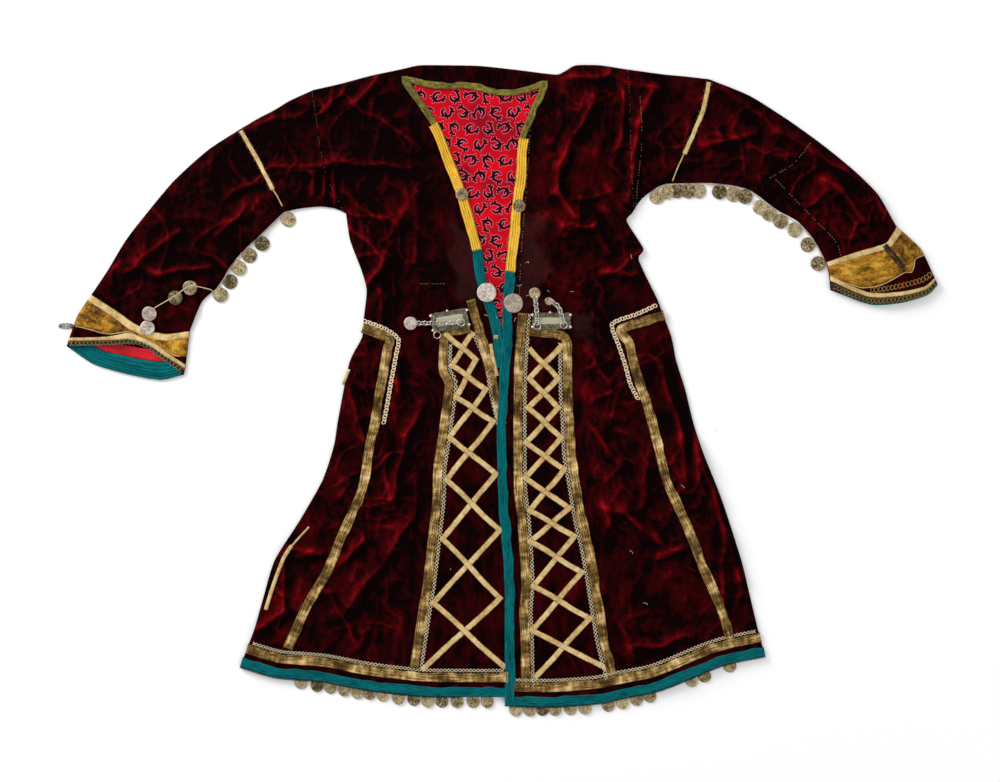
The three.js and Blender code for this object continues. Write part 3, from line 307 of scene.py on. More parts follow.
# start x, start y, end x, end y, half width, height
FOLDS = [
    (-214, 420, -106, 344, 24, 7), (-345, 321, -255, 330, 18, 6), (-255, 330, -138, 321, 20, 6),
    (-210, 424, -183, 458, 17, 5), (-368, 384, -287, 409, 17, 4), (-408, 285, -354, 312, 17, 5),
    (-561, 168, -484, 231, 19, 7), (-543, 186, -502, 164, 16, 5), (-502, 168, -435, 172, 14, 5),
    (-420, 225, -380, 262, 18, 5), (-282, 316, -282, 280, 9, 4), (-264, 312, -264, 280, 9, 4),
    (-246, 318, -244, 268, 10, 5), (-228, 285, -174, 244, 17, 5), (-219, 231, -174, 186, 18, 7),
    (-174, 186, -196, 148, 17, 7), (-124, 285, -124, 180, 22, 5), (-192, 154, -152, 112, 18, 5),
    (134, 416, 93, 330, 20, 9), (93, 330, 88, 285, 20, 9), (88, 285, 116, 249, 19, 8),
    (93, 456, 165, 459, 16, 5), (165, 459, 237, 438, 17, 5), (228, 434, 210, 384, 17, 7),
    (210, 384, 201, 321, 17, 7), (201, 321, 192, 276, 16, 6), (188, 434, 178, 352, 16, 5),
    (98, 231, 142, 237, 15, 6), (142, 237, 165, 200, 16, 6), (156, 168, 206, 162, 17, 5),
    (305, 357, 381, 375, 18, 5), (376, 352, 435, 344, 17, 5), (336, 442, 417, 380, 17, 5),
    (417, 380, 543, 303, 18, 6), (489, 303, 545, 246, 19, 8), (561, 290, 578, 256, 16, 6),
    (-109, -32, -140, -75, 19, 8), (-140, -75, -156, -168, 18, 6), (-171, -114, -156, -188, 17, 5),
    (-117, -188, -234, -344, 26, 7), (-202, -238, -249, -278, 18, 6), (-225, -12, -202, -87, 17, 6),
    (-315, -250, -268, -255, 17, 6), (-322, -262, -322, -340, 18, 6), (-322, -340, -362, -368, 17, 5),
    (-254, -309, -218, -387, 20, 5), (-156, 57, -152, -12, 18, 6), (141, -184, 183, -188, 16, 7),
    (183, -188, 237, -236, 17, 7), (237, -261, 279, -243, 16, 6), (162, -194, 148, -252, 17, 6),
    (158, -336, 204, -412, 19, 6), (195, -399, 288, -378, 19, 6), (120, -51, 186, -122, 19, 5),
    (246, 26, 270, -84, 17, 7), (270, -84, 279, -142, 16, 6), (296, -84, 304, -168, 15, 6),
    (300, -100, 363, -294, 17, 7), (338, -222, 338, -327, 17, 6), (228, -93, 212, -184, 18, 5),
    (130, 50, 165, 0, 18, 5),
]
# cell in mm, height in mm, sharpness, seed
CREASES = [
    (95, 4.0, 3.0, 11), (48, 2.8, 4.5, 23), (26, 1.7, 4.5, 37),
    (13, 0.7, 3.0, 53), (70, 3.0, 8.0, 61), (38, 1.8, 8.0, 67),
]
# y, left x, right x of the zone that the trim holds smooth
SMOOTH = [
    (480, -172, 96), (440, -158, 78), (388, -118, 56), (284, -78, 48),
    (202, -60, 42), (150, -60, 48), (128, -150, 116), (60, -150, 116),
    (30, -104, 116), (-105, -106, 124), (-201, -114, 140), (-340, -130, 166),
    (-480, -150, 192),
]
SMOOTH_EDGE = 26
CALM_SHARE = 0.16
HEM_CALM = 0.35
HEM_CALM_FROM, HEM_CALM_TO = 20, 75
FOLD_WANDER = 11
FOLDS_TALLEST = 13

# Outlines of the pieces, x and y
SHOULDER_RIGHT = [(-280, 441), (-240, 450), (-195, 462), (-144, 473)]
NECK_TOP = [(-144, 473), (-120, 478), (-75, 478), (-30, 477), (26, 471), (84, 464), (99, 470)]
SHOULDER_LEFT = [(99, 470), (114, 478), (150, 478), (189, 472)]
BACK_NECKLINE = [(-138, 454), (-98, 446), (-51, 447), (-20, 440), (10, 436), (38, 440), (62, 446)]
ARMHOLE_RIGHT = [(-280, 441), (-273, 396), (-267, 351), (-255, 306), (-231, 256)]
ARMHOLE_LEFT = [(189, 472), (192, 418), (193, 364), (195, 310), (198, 256)]
SIDE_RIGHT = [(-231, 256), (-225, 216), (-208, 171), (-200, 141), (-204, 101)]
SIDE_LEFT = [(198, 256), (190, 244), (215, 203), (208, 186), (236, 127)]
EDGE_RIGHT = [(-138, 454), (-92, 388), (-71, 336), (-51, 284), (-28, 202), (-22, 158), (-3, 102), (4, 69)]
EDGE_LEFT = [(62, 446), (30, 370), (26, 321), (20, 273), (9, 168), (6, 140), (4.4, 102), (4.4, 69)]
WAIST_RIGHT = [(-204, 101), (-168, 86), (-150, 74), (-88, 80), (4, 69)]
WAIST_LEFT = [(4.4, 69), (60, 70), (112, 74), (168, 95), (236, 127)]
SKIRT_SIDE_RIGHT = [
    (-204, 101), (-207, 70), (-226, 32), (-243, -54), (-249, -92), (-266, -144),
    (-300, -204), (-338, -264), (-356, -324), (-369, -369), (-390, -424),
]
SKIRT_SIDE_LEFT = [
    (236, 127), (257, 71), (264, 36), (278, -9), (291, -62), (306, -106),
    (333, -174), (362, -264), (375, -318), (387, -369), (398, -408),
]
SKIRT_EDGE = [
    (4.4, 69), (1, 36), (-1, -2), (-4, -54), (-3.5, -92), (-2.5, -144),
    (0, -204), (6, -264), (8, -324), (8, -400), (8, -483),
]
HEM_RIGHT = [(-390, -424), (-336, -440), (-267, -446), (-198, -459), (-120, -468), (-60, -469), (14, -469)]
HEM_LEFT = [(14.3, -483), (80, -484), (148, -479), (180, -472), (242, -459), (333, -422), (398, -408)]
TAPE_LINE_RIGHT = [(-390, 382), (-374, 354), (-357, 324), (-340, 291), (-324, 258)]
TAPE_LINE_LEFT = [(314, 457), (304, 411), (290, 375), (276, 345), (264, 301)]
ARM_TOP_RIGHT = [(-280, 441), (-315, 425), (-338, 411), (-363, 398), (-390, 382)]
ARM_UNDER_RIGHT = [(-231, 256), (-247, 263), (-270, 266), (-300, 263), (-324, 258)]
FOREARM_TOP_RIGHT = [
    (-390, 382), (-438, 351), (-488, 306), (-526, 261), (-561, 216), (-588, 171), (-612, 135),
]
FOREARM_UNDER_RIGHT = [
    (-324, 258), (-357, 226), (-388, 197), (-406, 174), (-422, 147), (-447, 123), (-465, 80),
]
CUFF_LINE_RIGHT = [(-612, 135), (-573, 110), (-540, 87), (-502, 76), (-465, 80)]
CUFF_SIDE_RIGHT = [(-612, 135), (-633, 104), (-644, 75), (-650, 57)]
CUFF_UNDER_RIGHT = [(-465, 80), (-468, 54), (-471, 30), (-474, 14)]
CUFF_FRONT_RIGHT = [(-650, 57), (-592, 59), (-536, 61), (-502, 36), (-474, 14)]
CUFF_BACK_RIGHT = [(-650, 57), (-610, 30), (-560, 15), (-510, 6), (-474, 14)]
ARM_TOP_LEFT = [(189, 472), (218, 468), (248, 464), (280, 461), (314, 457)]
ARM_UNDER_LEFT = [(198, 256), (212, 277), (234, 294), (248, 300), (264, 301)]
FOREARM_TOP_LEFT = [(314, 457), (375, 432), (435, 394), (486, 357), (530, 321), (567, 284), (594, 237)]
FOREARM_UNDER_LEFT = [
    (264, 301), (322, 301), (372, 292), (414, 262), (446, 244), (471, 216), (489, 183),
]
CUFF_LINE_LEFT = [(594, 237), (585, 222), (576, 211), (532, 198), (489, 183)]
CUFF_SIDE_LEFT = [(594, 237), (630, 204), (648, 168), (656, 150)]
CUFF_UNDER_LEFT = [(489, 183), (492, 170), (494, 156), (495, 141)]
CUFF_FRONT_LEFT = [(656, 150), (641, 134), (602, 122), (555, 119), (495, 141)]


def smoothstep(value, low, high):
    t = np.clip((value - low) / (high - low), 0, 1)
    return t * t * (3 - 2 * t)


def curve_through(rows, per=6):
    """A smooth line through the rows, with the same number of points on each stretch."""
    rows = np.asarray(rows, dtype=float)
    ends = np.vstack([2 * rows[0] - rows[1], rows, 2 * rows[-1] - rows[-2]])
    t = np.linspace(0, 1, per, endpoint=False)[:, None]
    parts = []
    for a, b, c, d in zip(ends, ends[1:], ends[2:], ends[3:]):
        bend = (2 * b + (c - a) * t + (2 * a - 5 * b + 4 * c - d) * t**2 + (3 * b - a - 3 * c + d) * t**3) / 2
        parts.append(0.35 * (b + (c - b) * t) + 0.65 * bend)
    return np.vstack([*parts, rows[-1:]])


def joined(*lines):
    """Lines end to end, each smooth in itself, as one line."""
    smooth = [curve_through(line) for line in lines]
    return np.vstack([smooth[0], *[line[1:] for line in smooth[1:]]])


def noise(x, y, cell, seed):
    """Smooth noise from 0 to 1 over a square grid of the given cell."""
    table = np.random.default_rng(seed).random((128, 128))
    gx, gy = x / cell + 1000, y / cell + 1000
    ix, iy = np.floor(gx).astype(int), np.floor(gy).astype(int)
    fx, fy = smoothstep(gx - ix, 0, 1), smoothstep(gy - iy, 0, 1)

    def at(i, j):
        return table[(ix + i) % 128, (iy + j) % 128]

    return (at(0, 0) * (1 - fx) + at(1, 0) * fx) * (1 - fy) + (at(0, 1) * (1 - fx) + at(1, 1) * fx) * fy


def distance_to(x, y, line):
    """How far each place lies from a line."""
    line = np.asarray(line, dtype=float)
    best = np.full(np.shape(x), 1e9)
    for (ax, ay), (bx, by) in zip(line, line[1:]):
        long = (bx - ax) ** 2 + (by - ay) ** 2
        t = np.clip(((x - ax) * (bx - ax) + (y - ay) * (by - ay)) / max(long, 1e-9), 0, 1)
        best = np.minimum(best, (x - ax - t * (bx - ax)) ** 2 + (y - ay - t * (by - ay)) ** 2)
    return np.sqrt(best)


def crease_lines(x, y, cell, sharp, seed):
    """Crooked ridges that start and stop: 1 on a ridge and 0 away from it."""
    wide = cell * 0.9
    wx = x + wide * (noise(x, y, cell * 0.8, seed + 1) - 0.5)
    wy = y + wide * (noise(x, y, cell * 0.8, seed + 2) - 0.5)
    ridge = 1 - np.abs(2 * noise(wx, wy, cell, seed) - 1)
    here = smoothstep(noise(x, y, cell * 1.4, seed + 3), 0.35, 0.7)
    return ridge ** sharp * here


RUFFLED_SILHOUETTE = [
    joined(SHOULDER_RIGHT, NECK_TOP, SHOULDER_LEFT, ARM_TOP_LEFT, FOREARM_TOP_LEFT, CUFF_SIDE_LEFT),
    joined(ARM_TOP_RIGHT, FOREARM_TOP_RIGHT, CUFF_SIDE_RIGHT),
    joined(CUFF_UNDER_RIGHT[::-1], FOREARM_UNDER_RIGHT[::-1], ARM_UNDER_RIGHT[::-1], SIDE_RIGHT,
           SKIRT_SIDE_RIGHT),
    joined(CUFF_UNDER_LEFT[::-1], FOREARM_UNDER_LEFT[::-1], ARM_UNDER_LEFT[::-1], SIDE_LEFT,
           SKIRT_SIDE_LEFT),
]
SEAMS = [curve_through(line) for line in
         [ARMHOLE_RIGHT, ARMHOLE_LEFT, TAPE_LINE_RIGHT, TAPE_LINE_LEFT, CUFF_LINE_RIGHT, CUFF_LINE_LEFT]]
SEAMS += [curve_through(WAIST_RIGHT), curve_through(WAIST_LEFT)]


def ruffled(x, y):
    """0 where the trim keeps the front smooth, and 1 well outside it."""
    rows = np.array(SMOOTH[::-1], dtype=float)
    left = np.interp(y, rows[:, 0], rows[:, 1])
    right = np.interp(y, rows[:, 0], rows[:, 2])
    return smoothstep(np.maximum(left - x, x - right), 0, SMOOTH_EDGE)


def relief(x, y):
    """Folds and creases over the flat cloth, before its edges turn down."""
    wx = x + FOLD_WANDER * (noise(x, y, 34, 71) - 0.5)
    wy = y + FOLD_WANDER * (noise(x, y, 34, 72) - 0.5)
    uneven = 0.75 + 0.5 * noise(x, y, 40, 73)
    total = np.zeros(np.shape(x))
    for ax, ay, bx, by, half, height in FOLDS:
        near = (wx > min(ax, bx) - half) & (wx < max(ax, bx) + half)
        near &= (wy > min(ay, by) - half) & (wy < max(ay, by) + half)
        px, py = wx[near] - ax, wy[near] - ay
        t = np.clip((px * (bx - ax) + py * (by - ay)) / ((bx - ax) ** 2 + (by - ay) ** 2), 0, 1)
        crest = np.clip(1 - np.hypot(px - t * (bx - ax), py - t * (by - ay)) / half, 0, 1)
        total[near] += height * (0.55 * crest**1.5 + 0.45 * crest**3) * uneven[near]
    total = FOLDS_TALLEST * np.tanh(total / FOLDS_TALLEST)
    crumple = sum(height * crease_lines(x, y, cell, sharp, seed) for cell, height, sharp, seed in CREASES)
    calm = CALM_SHARE + (1 - CALM_SHARE) * ruffled(x, y)
    hem_y = np.interp(x, *np.array([*HEM_RIGHT[:-1], *HEM_LEFT], dtype=float).T)
    near_hem = HEM_CALM + (1 - HEM_CALM) * smoothstep(y - hem_y, HEM_CALM_FROM, HEM_CALM_TO)
    return (total * ruffled(x, y) + crumple * calm) * near_hem


def read_from_table(height, step):
    """The same heights, read from a table of them over the whole coat, which is quicker."""
    across, up = np.arange(-684, 688, step), np.arange(-513, 504, step)
    table = height(*np.meshgrid(across, up))

    def read(x, y):
        gx = np.clip((np.asarray(x, dtype=float) - across[0]) / step, 0, len(across) - 1.001)
        gy = np.clip((np.asarray(y, dtype=float) - up[0]) / step, 0, len(up) - 1.001)
        ix, iy = gx.astype(int), gy.astype(int)
        fx, fy = gx - ix, gy - iy
        lower = table[iy, ix] * (1 - fx) + table[iy, ix + 1] * fx
        upper = table[iy + 1, ix] * (1 - fx) + table[iy + 1, ix + 1] * fx
        return lower * (1 - fy) + upper * fy

    return read


relief_at = read_from_table(relief, 1.5)


def top_of(x, y):
    """The height of the velvet's top, with seams drawn in and edges rolled down to the table."""
    x, y = np.asarray(x, dtype=float), np.asarray(y, dtype=float)
    high = FRONT_TOP + relief_at(x, y)
    for seam in SEAMS:
        high -= SEAM_DIP * np.exp(-((distance_to(x, y, seam) / SEAM_WIDE) ** 2))
    from_edge = np.min([distance_to(x, y, line) for line in RUFFLED_SILHOUETTE], axis=0)
    inside = np.clip(from_edge / EDGE_ROLL, 0, 1)
    return EDGE_LOW + (high - EDGE_LOW) * np.sqrt(1 - (1 - inside) ** 2)


# Wine-red silk velvet, its pile crushed by wear: almost black where it stands up to the eye, and
# bright red where a crease lays it over.
# The colour follows the pile and painted light: slopes that face the light and the crests of folds are painted
# brighter, as painted shading and highlights, over the pile's own patches and creases.
VELVET_SHADES = [
    (0.1, (0.0030, 0.0003, 0.0006)), (0.34, (0.030, 0.0005, 0.0012)), (0.62, (0.120, 0.0012, 0.0030)),
    (0.95, (0.36, 0.0050, 0.0090)),
]
VELVET_WORN = (0.034, 0.0090, 0.0085, 1)

velvet, tree, shader = new_material("crushed_velvet", 0.9, specular=0.02)
shader.inputs["Sheen Weight"].default_value = 0.03
shader.inputs["Sheen Roughness"].default_value = 0.38
shader.inputs["Sheen Tint"].default_value = (0.9, 0.05, 0.06, 1)
nap = add_node(tree, "ShaderNodeAttribute", attribute_name="nap")
bald = add_node(tree, "ShaderNodeAttribute", attribute_name="bald")
place = add_node(tree, "ShaderNodeTexCoord").outputs["Object"]
pile = noise_of(tree, place, 320.0, detail=3.0)
patch = noise_of(tree, place, 30.0, detail=5.0, roughness=0.62)
crinkle = add_node(
    tree,
    "ShaderNodeTexNoise",
    {"Vector": place, "Scale": 24.0, "Detail": 6.0, "Roughness": 0.6, "Distortion": 0.7},
    noise_type="RIDGED_MULTIFRACTAL",
).outputs["Fac"]
# fine parallel streaks where the pile is brushed flat; their way drifts over the cloth
drift = add_node(tree, "ShaderNodeTexNoise", {"Vector": place, "Scale": 7.0, "Detail": 1.0}).outputs["Color"]
bent = {0: drift, 1: (0.16, 0.1, 0.0), 2: place}
bent = add_node(tree, "ShaderNodeVectorMath", bent, operation="MULTIPLY_ADD")
drawn_out = add_node(
    tree, "ShaderNodeVectorMath", {0: bent.outputs[0], 1: (105.0, 20.0, 20.0)}, operation="MULTIPLY"
)
brushed = noise_of(tree, drawn_out.outputs[0], 1.0, detail=3.0, roughness=0.55)
# each grain of the pile's shading, its middle value, and how much it counts
# the attribute holds the pile's laying over together with painted light: painted shading on slopes and painted
# highlights on crests
shading = nap.outputs["Fac"]
for grain, middle_value, share in [
    (pile, 0.5, 0.3), (patch, 0.5, 0.5), (brushed, 0.5, 0.5), (crinkle, 0.75, 0.2),
]:
    part = add_node(tree, "ShaderNodeMath", {0: grain, 1: middle_value}, operation="SUBTRACT").outputs[0]
    mixed = add_node(tree, "ShaderNodeMath", {0: part, 1: share, 2: shading}, operation="MULTIPLY_ADD")
    shading = mixed.outputs[0]
shade = ramp(tree, shading, VELVET_SHADES)
rubbed = add_node(
    tree, "ShaderNodeMix", {"Factor": bald.outputs["Fac"], 6: shade, 7: VELVET_WORN}, data_type="RGBA"
)
tree.links.new(rubbed.outputs[2], shader.inputs["Base Color"])
rough_pile = bump(tree, pile, 0.35, 0.0006)
tree.links.new(bump(tree, shading, 0.6, 0.004, Normal=rough_pile), shader.inputs["Normal"])

# what lays the pile over, with painted light in the same value: how much painted light on a slope to the light,
# a painted highlight on the crest of a fold and on a fine crest, a broad drift and a crease add to its level where the
# cloth is flat
NAP_LEVEL = 0.29
PAINTED_SLOPE_LIGHT = 0.42
PAINTED_FOLD_HIGHLIGHT = 0.12
PAINTED_CREST_HIGHLIGHT = 0.22
NAP_DRIFT = 0.3
NAP_CREASE = 0.14


def nap_and_painted_light_of(x, y):
    """How far the pile is laid over, with painted light in the same value, 0 to 1: painted light on slopes that face
    the light, painted highlights on crests, and pile laid over in worn patches.
    """
    step = 1.6
    here = relief_at(x, y)
    slope_x = (relief_at(x + step, y) - relief_at(x - step, y)) / (2 * step)
    slope_y = (relief_at(x, y + step) - relief_at(x, y - step)) / (2 * step)

    def crest(wider, tall):
        ring = [(wider, 0), (-wider, 0), (0, wider), (0, -wider)]
        around = sum(relief_at(x + dx, y + dy) for dx, dy in ring) / 4
        return np.clip((here - around) / tall, -0.5, 1)

    # painted light: slopes that face the light at the upper left are painted brighter, those turned away painted
    # darker
    lit = np.clip(0.85 * slope_x - 0.8 * slope_y, -0.6, 0.8)
    broken = smoothstep(noise(x, y, 22, 83) * 0.7 + noise(x, y, 9, 84) * 0.3, 0.25, 0.7)
    # a painted highlight along fine crests, broken here and there
    painted_crest_streak = crest(4.5, 1.3) * (0.3 + 0.7 * broken)
    broad = noise(x, y, 80, 81) * 0.5 + noise(x, y, 27, 82) * 0.5
    lines = 0.7 * crease_lines(x, y, 34, 6, 301) + 0.8 * crease_lines(x, 0.42 * y, 15, 5, 305)
    lines += 0.7 * crease_lines(0.5 * x + 0.6 * y, 0.9 * y - 0.4 * x, 12, 5, 309)
    # folded holds the painted light: painted shading on slopes and painted highlights on crests
    folded = PAINTED_SLOPE_LIGHT * lit + PAINTED_FOLD_HIGHLIGHT * crest(9, 3) + PAINTED_CREST_HIGHLIGHT * painted_crest_streak
    return np.clip(NAP_LEVEL + folded + NAP_DRIFT * (broad - 0.5) + NAP_CREASE * lines, 0, 1)


# where the pile has rubbed off beside the front edges: low y, high y, low x, high x
BALD_ZONES = [(118, 238, -74, -30), (104, 250, 28, 68), (60, 104, 96, 140)]
BALDEST = 0.6


def bald_of(x, y):
    """How bare the velvet is rubbed, 0 to 1."""
    bare = np.zeros(np.shape(x))
    edge = 26 * (noise(x, y, 24, 311) - 0.5) + 12 * (noise(x, y, 7, 312) - 0.5)
    for low_y, high_y, low_x, high_x in BALD_ZONES:
        inside = np.minimum(np.minimum(y - low_y, high_y - y), np.minimum(x - low_x, high_x - x)) + edge
        bare = np.maximum(bare, smoothstep(inside, -4, 12))
    return BALDEST * bare * (0.6 + 0.4 * noise(x, y, 5, 313))


def place_at(sides, s, t):
    """Places over a piece of cloth between four lines, at shares across and down it."""
    top, bottom, left, right = sides
    s, t = np.broadcast_arrays(np.asarray(s, dtype=float), np.asarray(t, dtype=float))

    def at(line, share):
        rows = np.arange(len(line))
        return np.stack([np.interp(share * (len(line) - 1), rows, line[:, k]) for k in (0, 1)], axis=-1)

    a, b = s[..., None], t[..., None]
    corners = (1 - b) * ((1 - a) * top[0] + a * top[-1]) + b * ((1 - a) * bottom[0] + a * bottom[-1])
    return (1 - b) * at(top, s) + b * at(bottom, s) + (1 - a) * at(left, t) + a * at(right, t) - corners


TAKEN_UP = 1.06


def cut_of(places, round_about=1):
    """The size and area that a piece was cut to: what it covers, and what its folds take up."""
    rows = np.linalg.norm(np.diff(places, axis=1), axis=-1).sum(axis=1).max()
    columns = np.linalg.norm(np.diff(places, axis=0), axis=-1).sum(axis=0).max()
    across, down = np.diff(places, axis=1)[:-1], np.diff(places, axis=0)[:, :-1]
    covered = np.abs(across[..., 0] * down[..., 1] - across[..., 1] * down[..., 0]).sum()
    width, length = rows * TAKEN_UP * round_about * MM, columns * TAKEN_UP * MM
    area = min(covered * TAKEN_UP * round_about * MM * MM, width * length)
    return {"flat": (round(width, 3), round(length, 3)), "area": round(area, 4)}


def quads(grid, inward=False):
    """The quads of a grid of point numbers, seen from outside or from within."""
    faces = np.stack([grid[:-1, :-1], grid[1:, :-1], grid[1:, 1:], grid[:-1, 1:]], axis=-1).reshape(-1, 4)
    return faces[:, [0, 3, 2, 1]] if inward else faces


def wrapped(rows, around):
    """The numbers of points in rings, each ring closed by its first point again."""
    index = np.arange(rows * around).reshape(rows, around)
    return np.hstack([index, index[:, :1]])


def sheet_faces(rows, columns):
    """The quads of a closed sheet: its upper grid, its lower grid, and the rim between them."""
    index = np.arange(rows * columns).reshape(rows, columns)
    rims = []
    for edge, flip in [(index[0], False), (index[-1], True), (index[:, 0], True), (index[:, -1], False)]:
        under = edge + rows * columns
        quad = np.stack([edge[:-1], edge[1:], under[1:], under[:-1]], axis=-1)
        rims.append(quad[:, ::-1] if flip else quad)
    return np.vstack([quads(index), quads(index + rows * columns, inward=True), *rims])


def share_steps(long, fine_start=False, fine_end=False, grain=3.0):
    """Shares along a side of a piece about a grain apart, closer where its edge rolls over."""
    shares = np.linspace(0, 1, max(3, int(long / grain)) + 1)
    fine = np.array([0.25, 0.8, 1.6]) / long
    if fine_start:
        shares = np.concatenate([shares, fine])
    if fine_end:
        shares = np.concatenate([shares, 1 - fine])
    return np.unique(np.round(shares, 6))


CLOTH_THICK = 1.3
CLOTH_LOWEST = 0.35


def lay_velvet(name, sides, across, down, node, rests_on="back_bodice"):
    """A sheet of velvet between four lines, which stands for its plain solid."""
    places = place_at(sides, *np.meshgrid(across, down))
    x, y = places[..., 0], places[..., 1]
    high = top_of(x, y)
    low = np.maximum(high - CLOTH_THICK, CLOTH_LOWEST)
    points = np.vstack([in_frame(x, y, high).reshape(-1, 3), in_frame(x, y, low).reshape(-1, 3)])
    # laid holds the pile's laying over with painted light: painted shading on slopes and painted highlights on crests
    laid, bare = nap_and_painted_light_of(x, y), bald_of(x, y)
    piece = add_object(
        name, velvet, points, sheet_faces(*x.shape), nap=np.stack([laid, laid]), bald=np.stack([bare, bare])
    )
    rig.ride(piece, "root")
    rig.slot(piece, "velvet")
    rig.replaces(piece, node)
    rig.sheet(piece, held="laid", rests_on=rests_on, **cut_of(places))
    return piece


# Bodice: two fronts of velvet and the back's neck strip, which folds over to the front.
# The fronts are sewn to the back at shoulder and side and to the skirt at the waist.
lay_velvet(
    "velvet_bodice_right",
    (joined(SHOULDER_RIGHT), joined(WAIST_RIGHT), joined(ARMHOLE_RIGHT, SIDE_RIGHT),
     joined([NECK_TOP[0], EDGE_RIGHT[0]], EDGE_RIGHT)),
    share_steps(230, fine_start=True),
    share_steps(380, fine_start=True),
    "front_bodice_right",
)
lay_velvet(
    "velvet_bodice_left",
    (joined(SHOULDER_LEFT), joined(WAIST_LEFT), joined([NECK_TOP[-1], EDGE_LEFT[0]], EDGE_LEFT),
     joined(ARMHOLE_LEFT, SIDE_LEFT)),
    share_steps(200, fine_end=True),
    share_steps(390, fine_start=True),
    "front_bodice_left",
)
lay_velvet(
    "velvet_neck",
    (joined(NECK_TOP), joined(BACK_NECKLINE), joined([NECK_TOP[0], BACK_NECKLINE[0]]),
     joined([NECK_TOP[-1], BACK_NECKLINE[-1]])),
    share_steps(220),
    share_steps(32, fine_start=True, grain=2.0),
    "back_neck",
)

# Skirt: two flared fronts of velvet, sewn to the bodice at the waist.
# The left front laps a little over the right one at the middle, under its teal binding.
UNDERLAP = 6
LAP_GAP = 0.3
skirt_edge = joined(SKIRT_EDGE) + (UNDERLAP, 0)
under_edge = joined([*SKIRT_EDGE[:-1], HEM_RIGHT[-1]]) + (UNDERLAP, 0)
under_edge[-1] = HEM_RIGHT[-1]
lay_velvet(
    "velvet_skirt_right",
    (joined([*WAIST_RIGHT[:-1], skirt_edge[0]]), joined(HEM_RIGHT), joined(SKIRT_SIDE_RIGHT), under_edge),
    share_steps(330, fine_start=True),
    share_steps(530),
    "front_skirt_right",
    "back_skirt",
)
lay_velvet(
    "velvet_skirt_left",
    (joined([skirt_edge[0] + (LAP_GAP, 0), *WAIST_LEFT[1:]]), joined(HEM_LEFT), skirt_edge + (LAP_GAP, 0),
     joined(SKIRT_SIDE_LEFT)),
    share_steps(320, fine_end=True),
    share_steps(530),
    "front_skirt_left",
    "back_skirt",
)
for name in ("back_bodice", "back_skirt"):
    frame["nodes"][name].data.materials.clear()
    frame["nodes"][name].data.materials.append(velvet)

# Sleeves: each a tube of velvet in an upper and a lower length, laid flat, with a cuff at its end.
# A seam runs round the armhole, and another above the elbow under a cream tape.
# The right cuff's front edge stands back, so that its inside shows.
TUBE_BACK = 0.25
TUBE_BACK_THICK = 1.1
TUBE_LEAST_ROOM = 0.5


def lay_tube(name, sides, back_end, long, wide, node, grain=3.0):
    """A flat-laid tube of velvet with an outer and an inner wall, open at both ends."""
    across = share_steps(wide, True, True, grain)
    down = share_steps(long, grain=grain)
    s, t = np.meshgrid(across, down)
    inner_s = 0.5 + (s - 0.5) * (1 - 2 * CLOTH_THICK / wide)
    back_sides = (sides[0], back_end, *sides[2:])

    def loop(shares, front_drop, back_z):
        front = place_at(sides, shares, t)
        back = place_at(back_sides, shares, t)[:, 1:-1][:, ::-1]
        front_z = np.maximum(top_of(front[..., 0], front[..., 1]) - front_drop, back_z + TUBE_LEAST_ROOM)
        x = np.hstack([front[..., 0], back[..., 0]])
        y = np.hstack([front[..., 1], back[..., 1]])
        return x, y, np.hstack([front_z, np.full(back.shape[:2], back_z)])

    outer, inner = loop(s, 0, TUBE_BACK), loop(inner_s, CLOTH_THICK, TUBE_BACK + TUBE_BACK_THICK)
    wrap = wrapped(*outer[0].shape)
    within = wrap + outer[0].size
    walls = [
        quads(wrap),
        quads(within, inward=True),
        np.stack([wrap[0, :-1], wrap[0, 1:], within[0, 1:], within[0, :-1]], axis=-1),
        np.stack([wrap[-1, 1:], wrap[-1, :-1], within[-1, :-1], within[-1, 1:]], axis=-1),
    ]
    # laid holds the pile's laying over with painted light: painted shading on slopes and painted highlights on crests
    laid = nap_and_painted_light_of(outer[0], outer[1])
    points = np.vstack([in_frame(*part).reshape(-1, 3) for part in (outer, inner)])
    piece = add_object(name, velvet, points, np.vstack(walls), nap=np.stack([laid, laid]))
    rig.ride(piece, "root")
    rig.slot(piece, "velvet")
    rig.replaces(piece, node)
    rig.sheet(piece, held="laid", rests_on="table", **cut_of(place_at(sides, s, t), round_about=2))
    return piece


SLEEVE_SIDES = {
    "sleeve_right_upper": (ARMHOLE_RIGHT, TAPE_LINE_RIGHT, ARM_TOP_RIGHT, ARM_UNDER_RIGHT),
    "sleeve_right_lower": (TAPE_LINE_RIGHT, CUFF_LINE_RIGHT, FOREARM_TOP_RIGHT, FOREARM_UNDER_RIGHT),
    "cuff_right": (CUFF_LINE_RIGHT, CUFF_FRONT_RIGHT, CUFF_SIDE_RIGHT, CUFF_UNDER_RIGHT),
    "sleeve_left_upper": (ARMHOLE_LEFT, TAPE_LINE_LEFT, ARM_TOP_LEFT, ARM_UNDER_LEFT),
    "sleeve_left_lower": (TAPE_LINE_LEFT, CUFF_LINE_LEFT, FOREARM_TOP_LEFT, FOREARM_UNDER_LEFT),
    "cuff_left": (CUFF_LINE_LEFT, CUFF_FRONT_LEFT, CUFF_SIDE_LEFT, CUFF_UNDER_LEFT),
}
SLEEVE_SIZES = {"upper": (110, 190), "lower": (330, 165), "right": (80, 160), "left": (95, 130)}
sleeve_sides = {name: tuple(joined(line) for line in lines) for name, lines in SLEEVE_SIDES.items()}
for name, sides in sleeve_sides.items():
    back_end = joined(CUFF_BACK_RIGHT) if name == "cuff_right" else sides[1]
    lay_tube(f"velvet_{name}", sides, back_end, *SLEEVE_SIZES[name.split("_")[-1]], name)

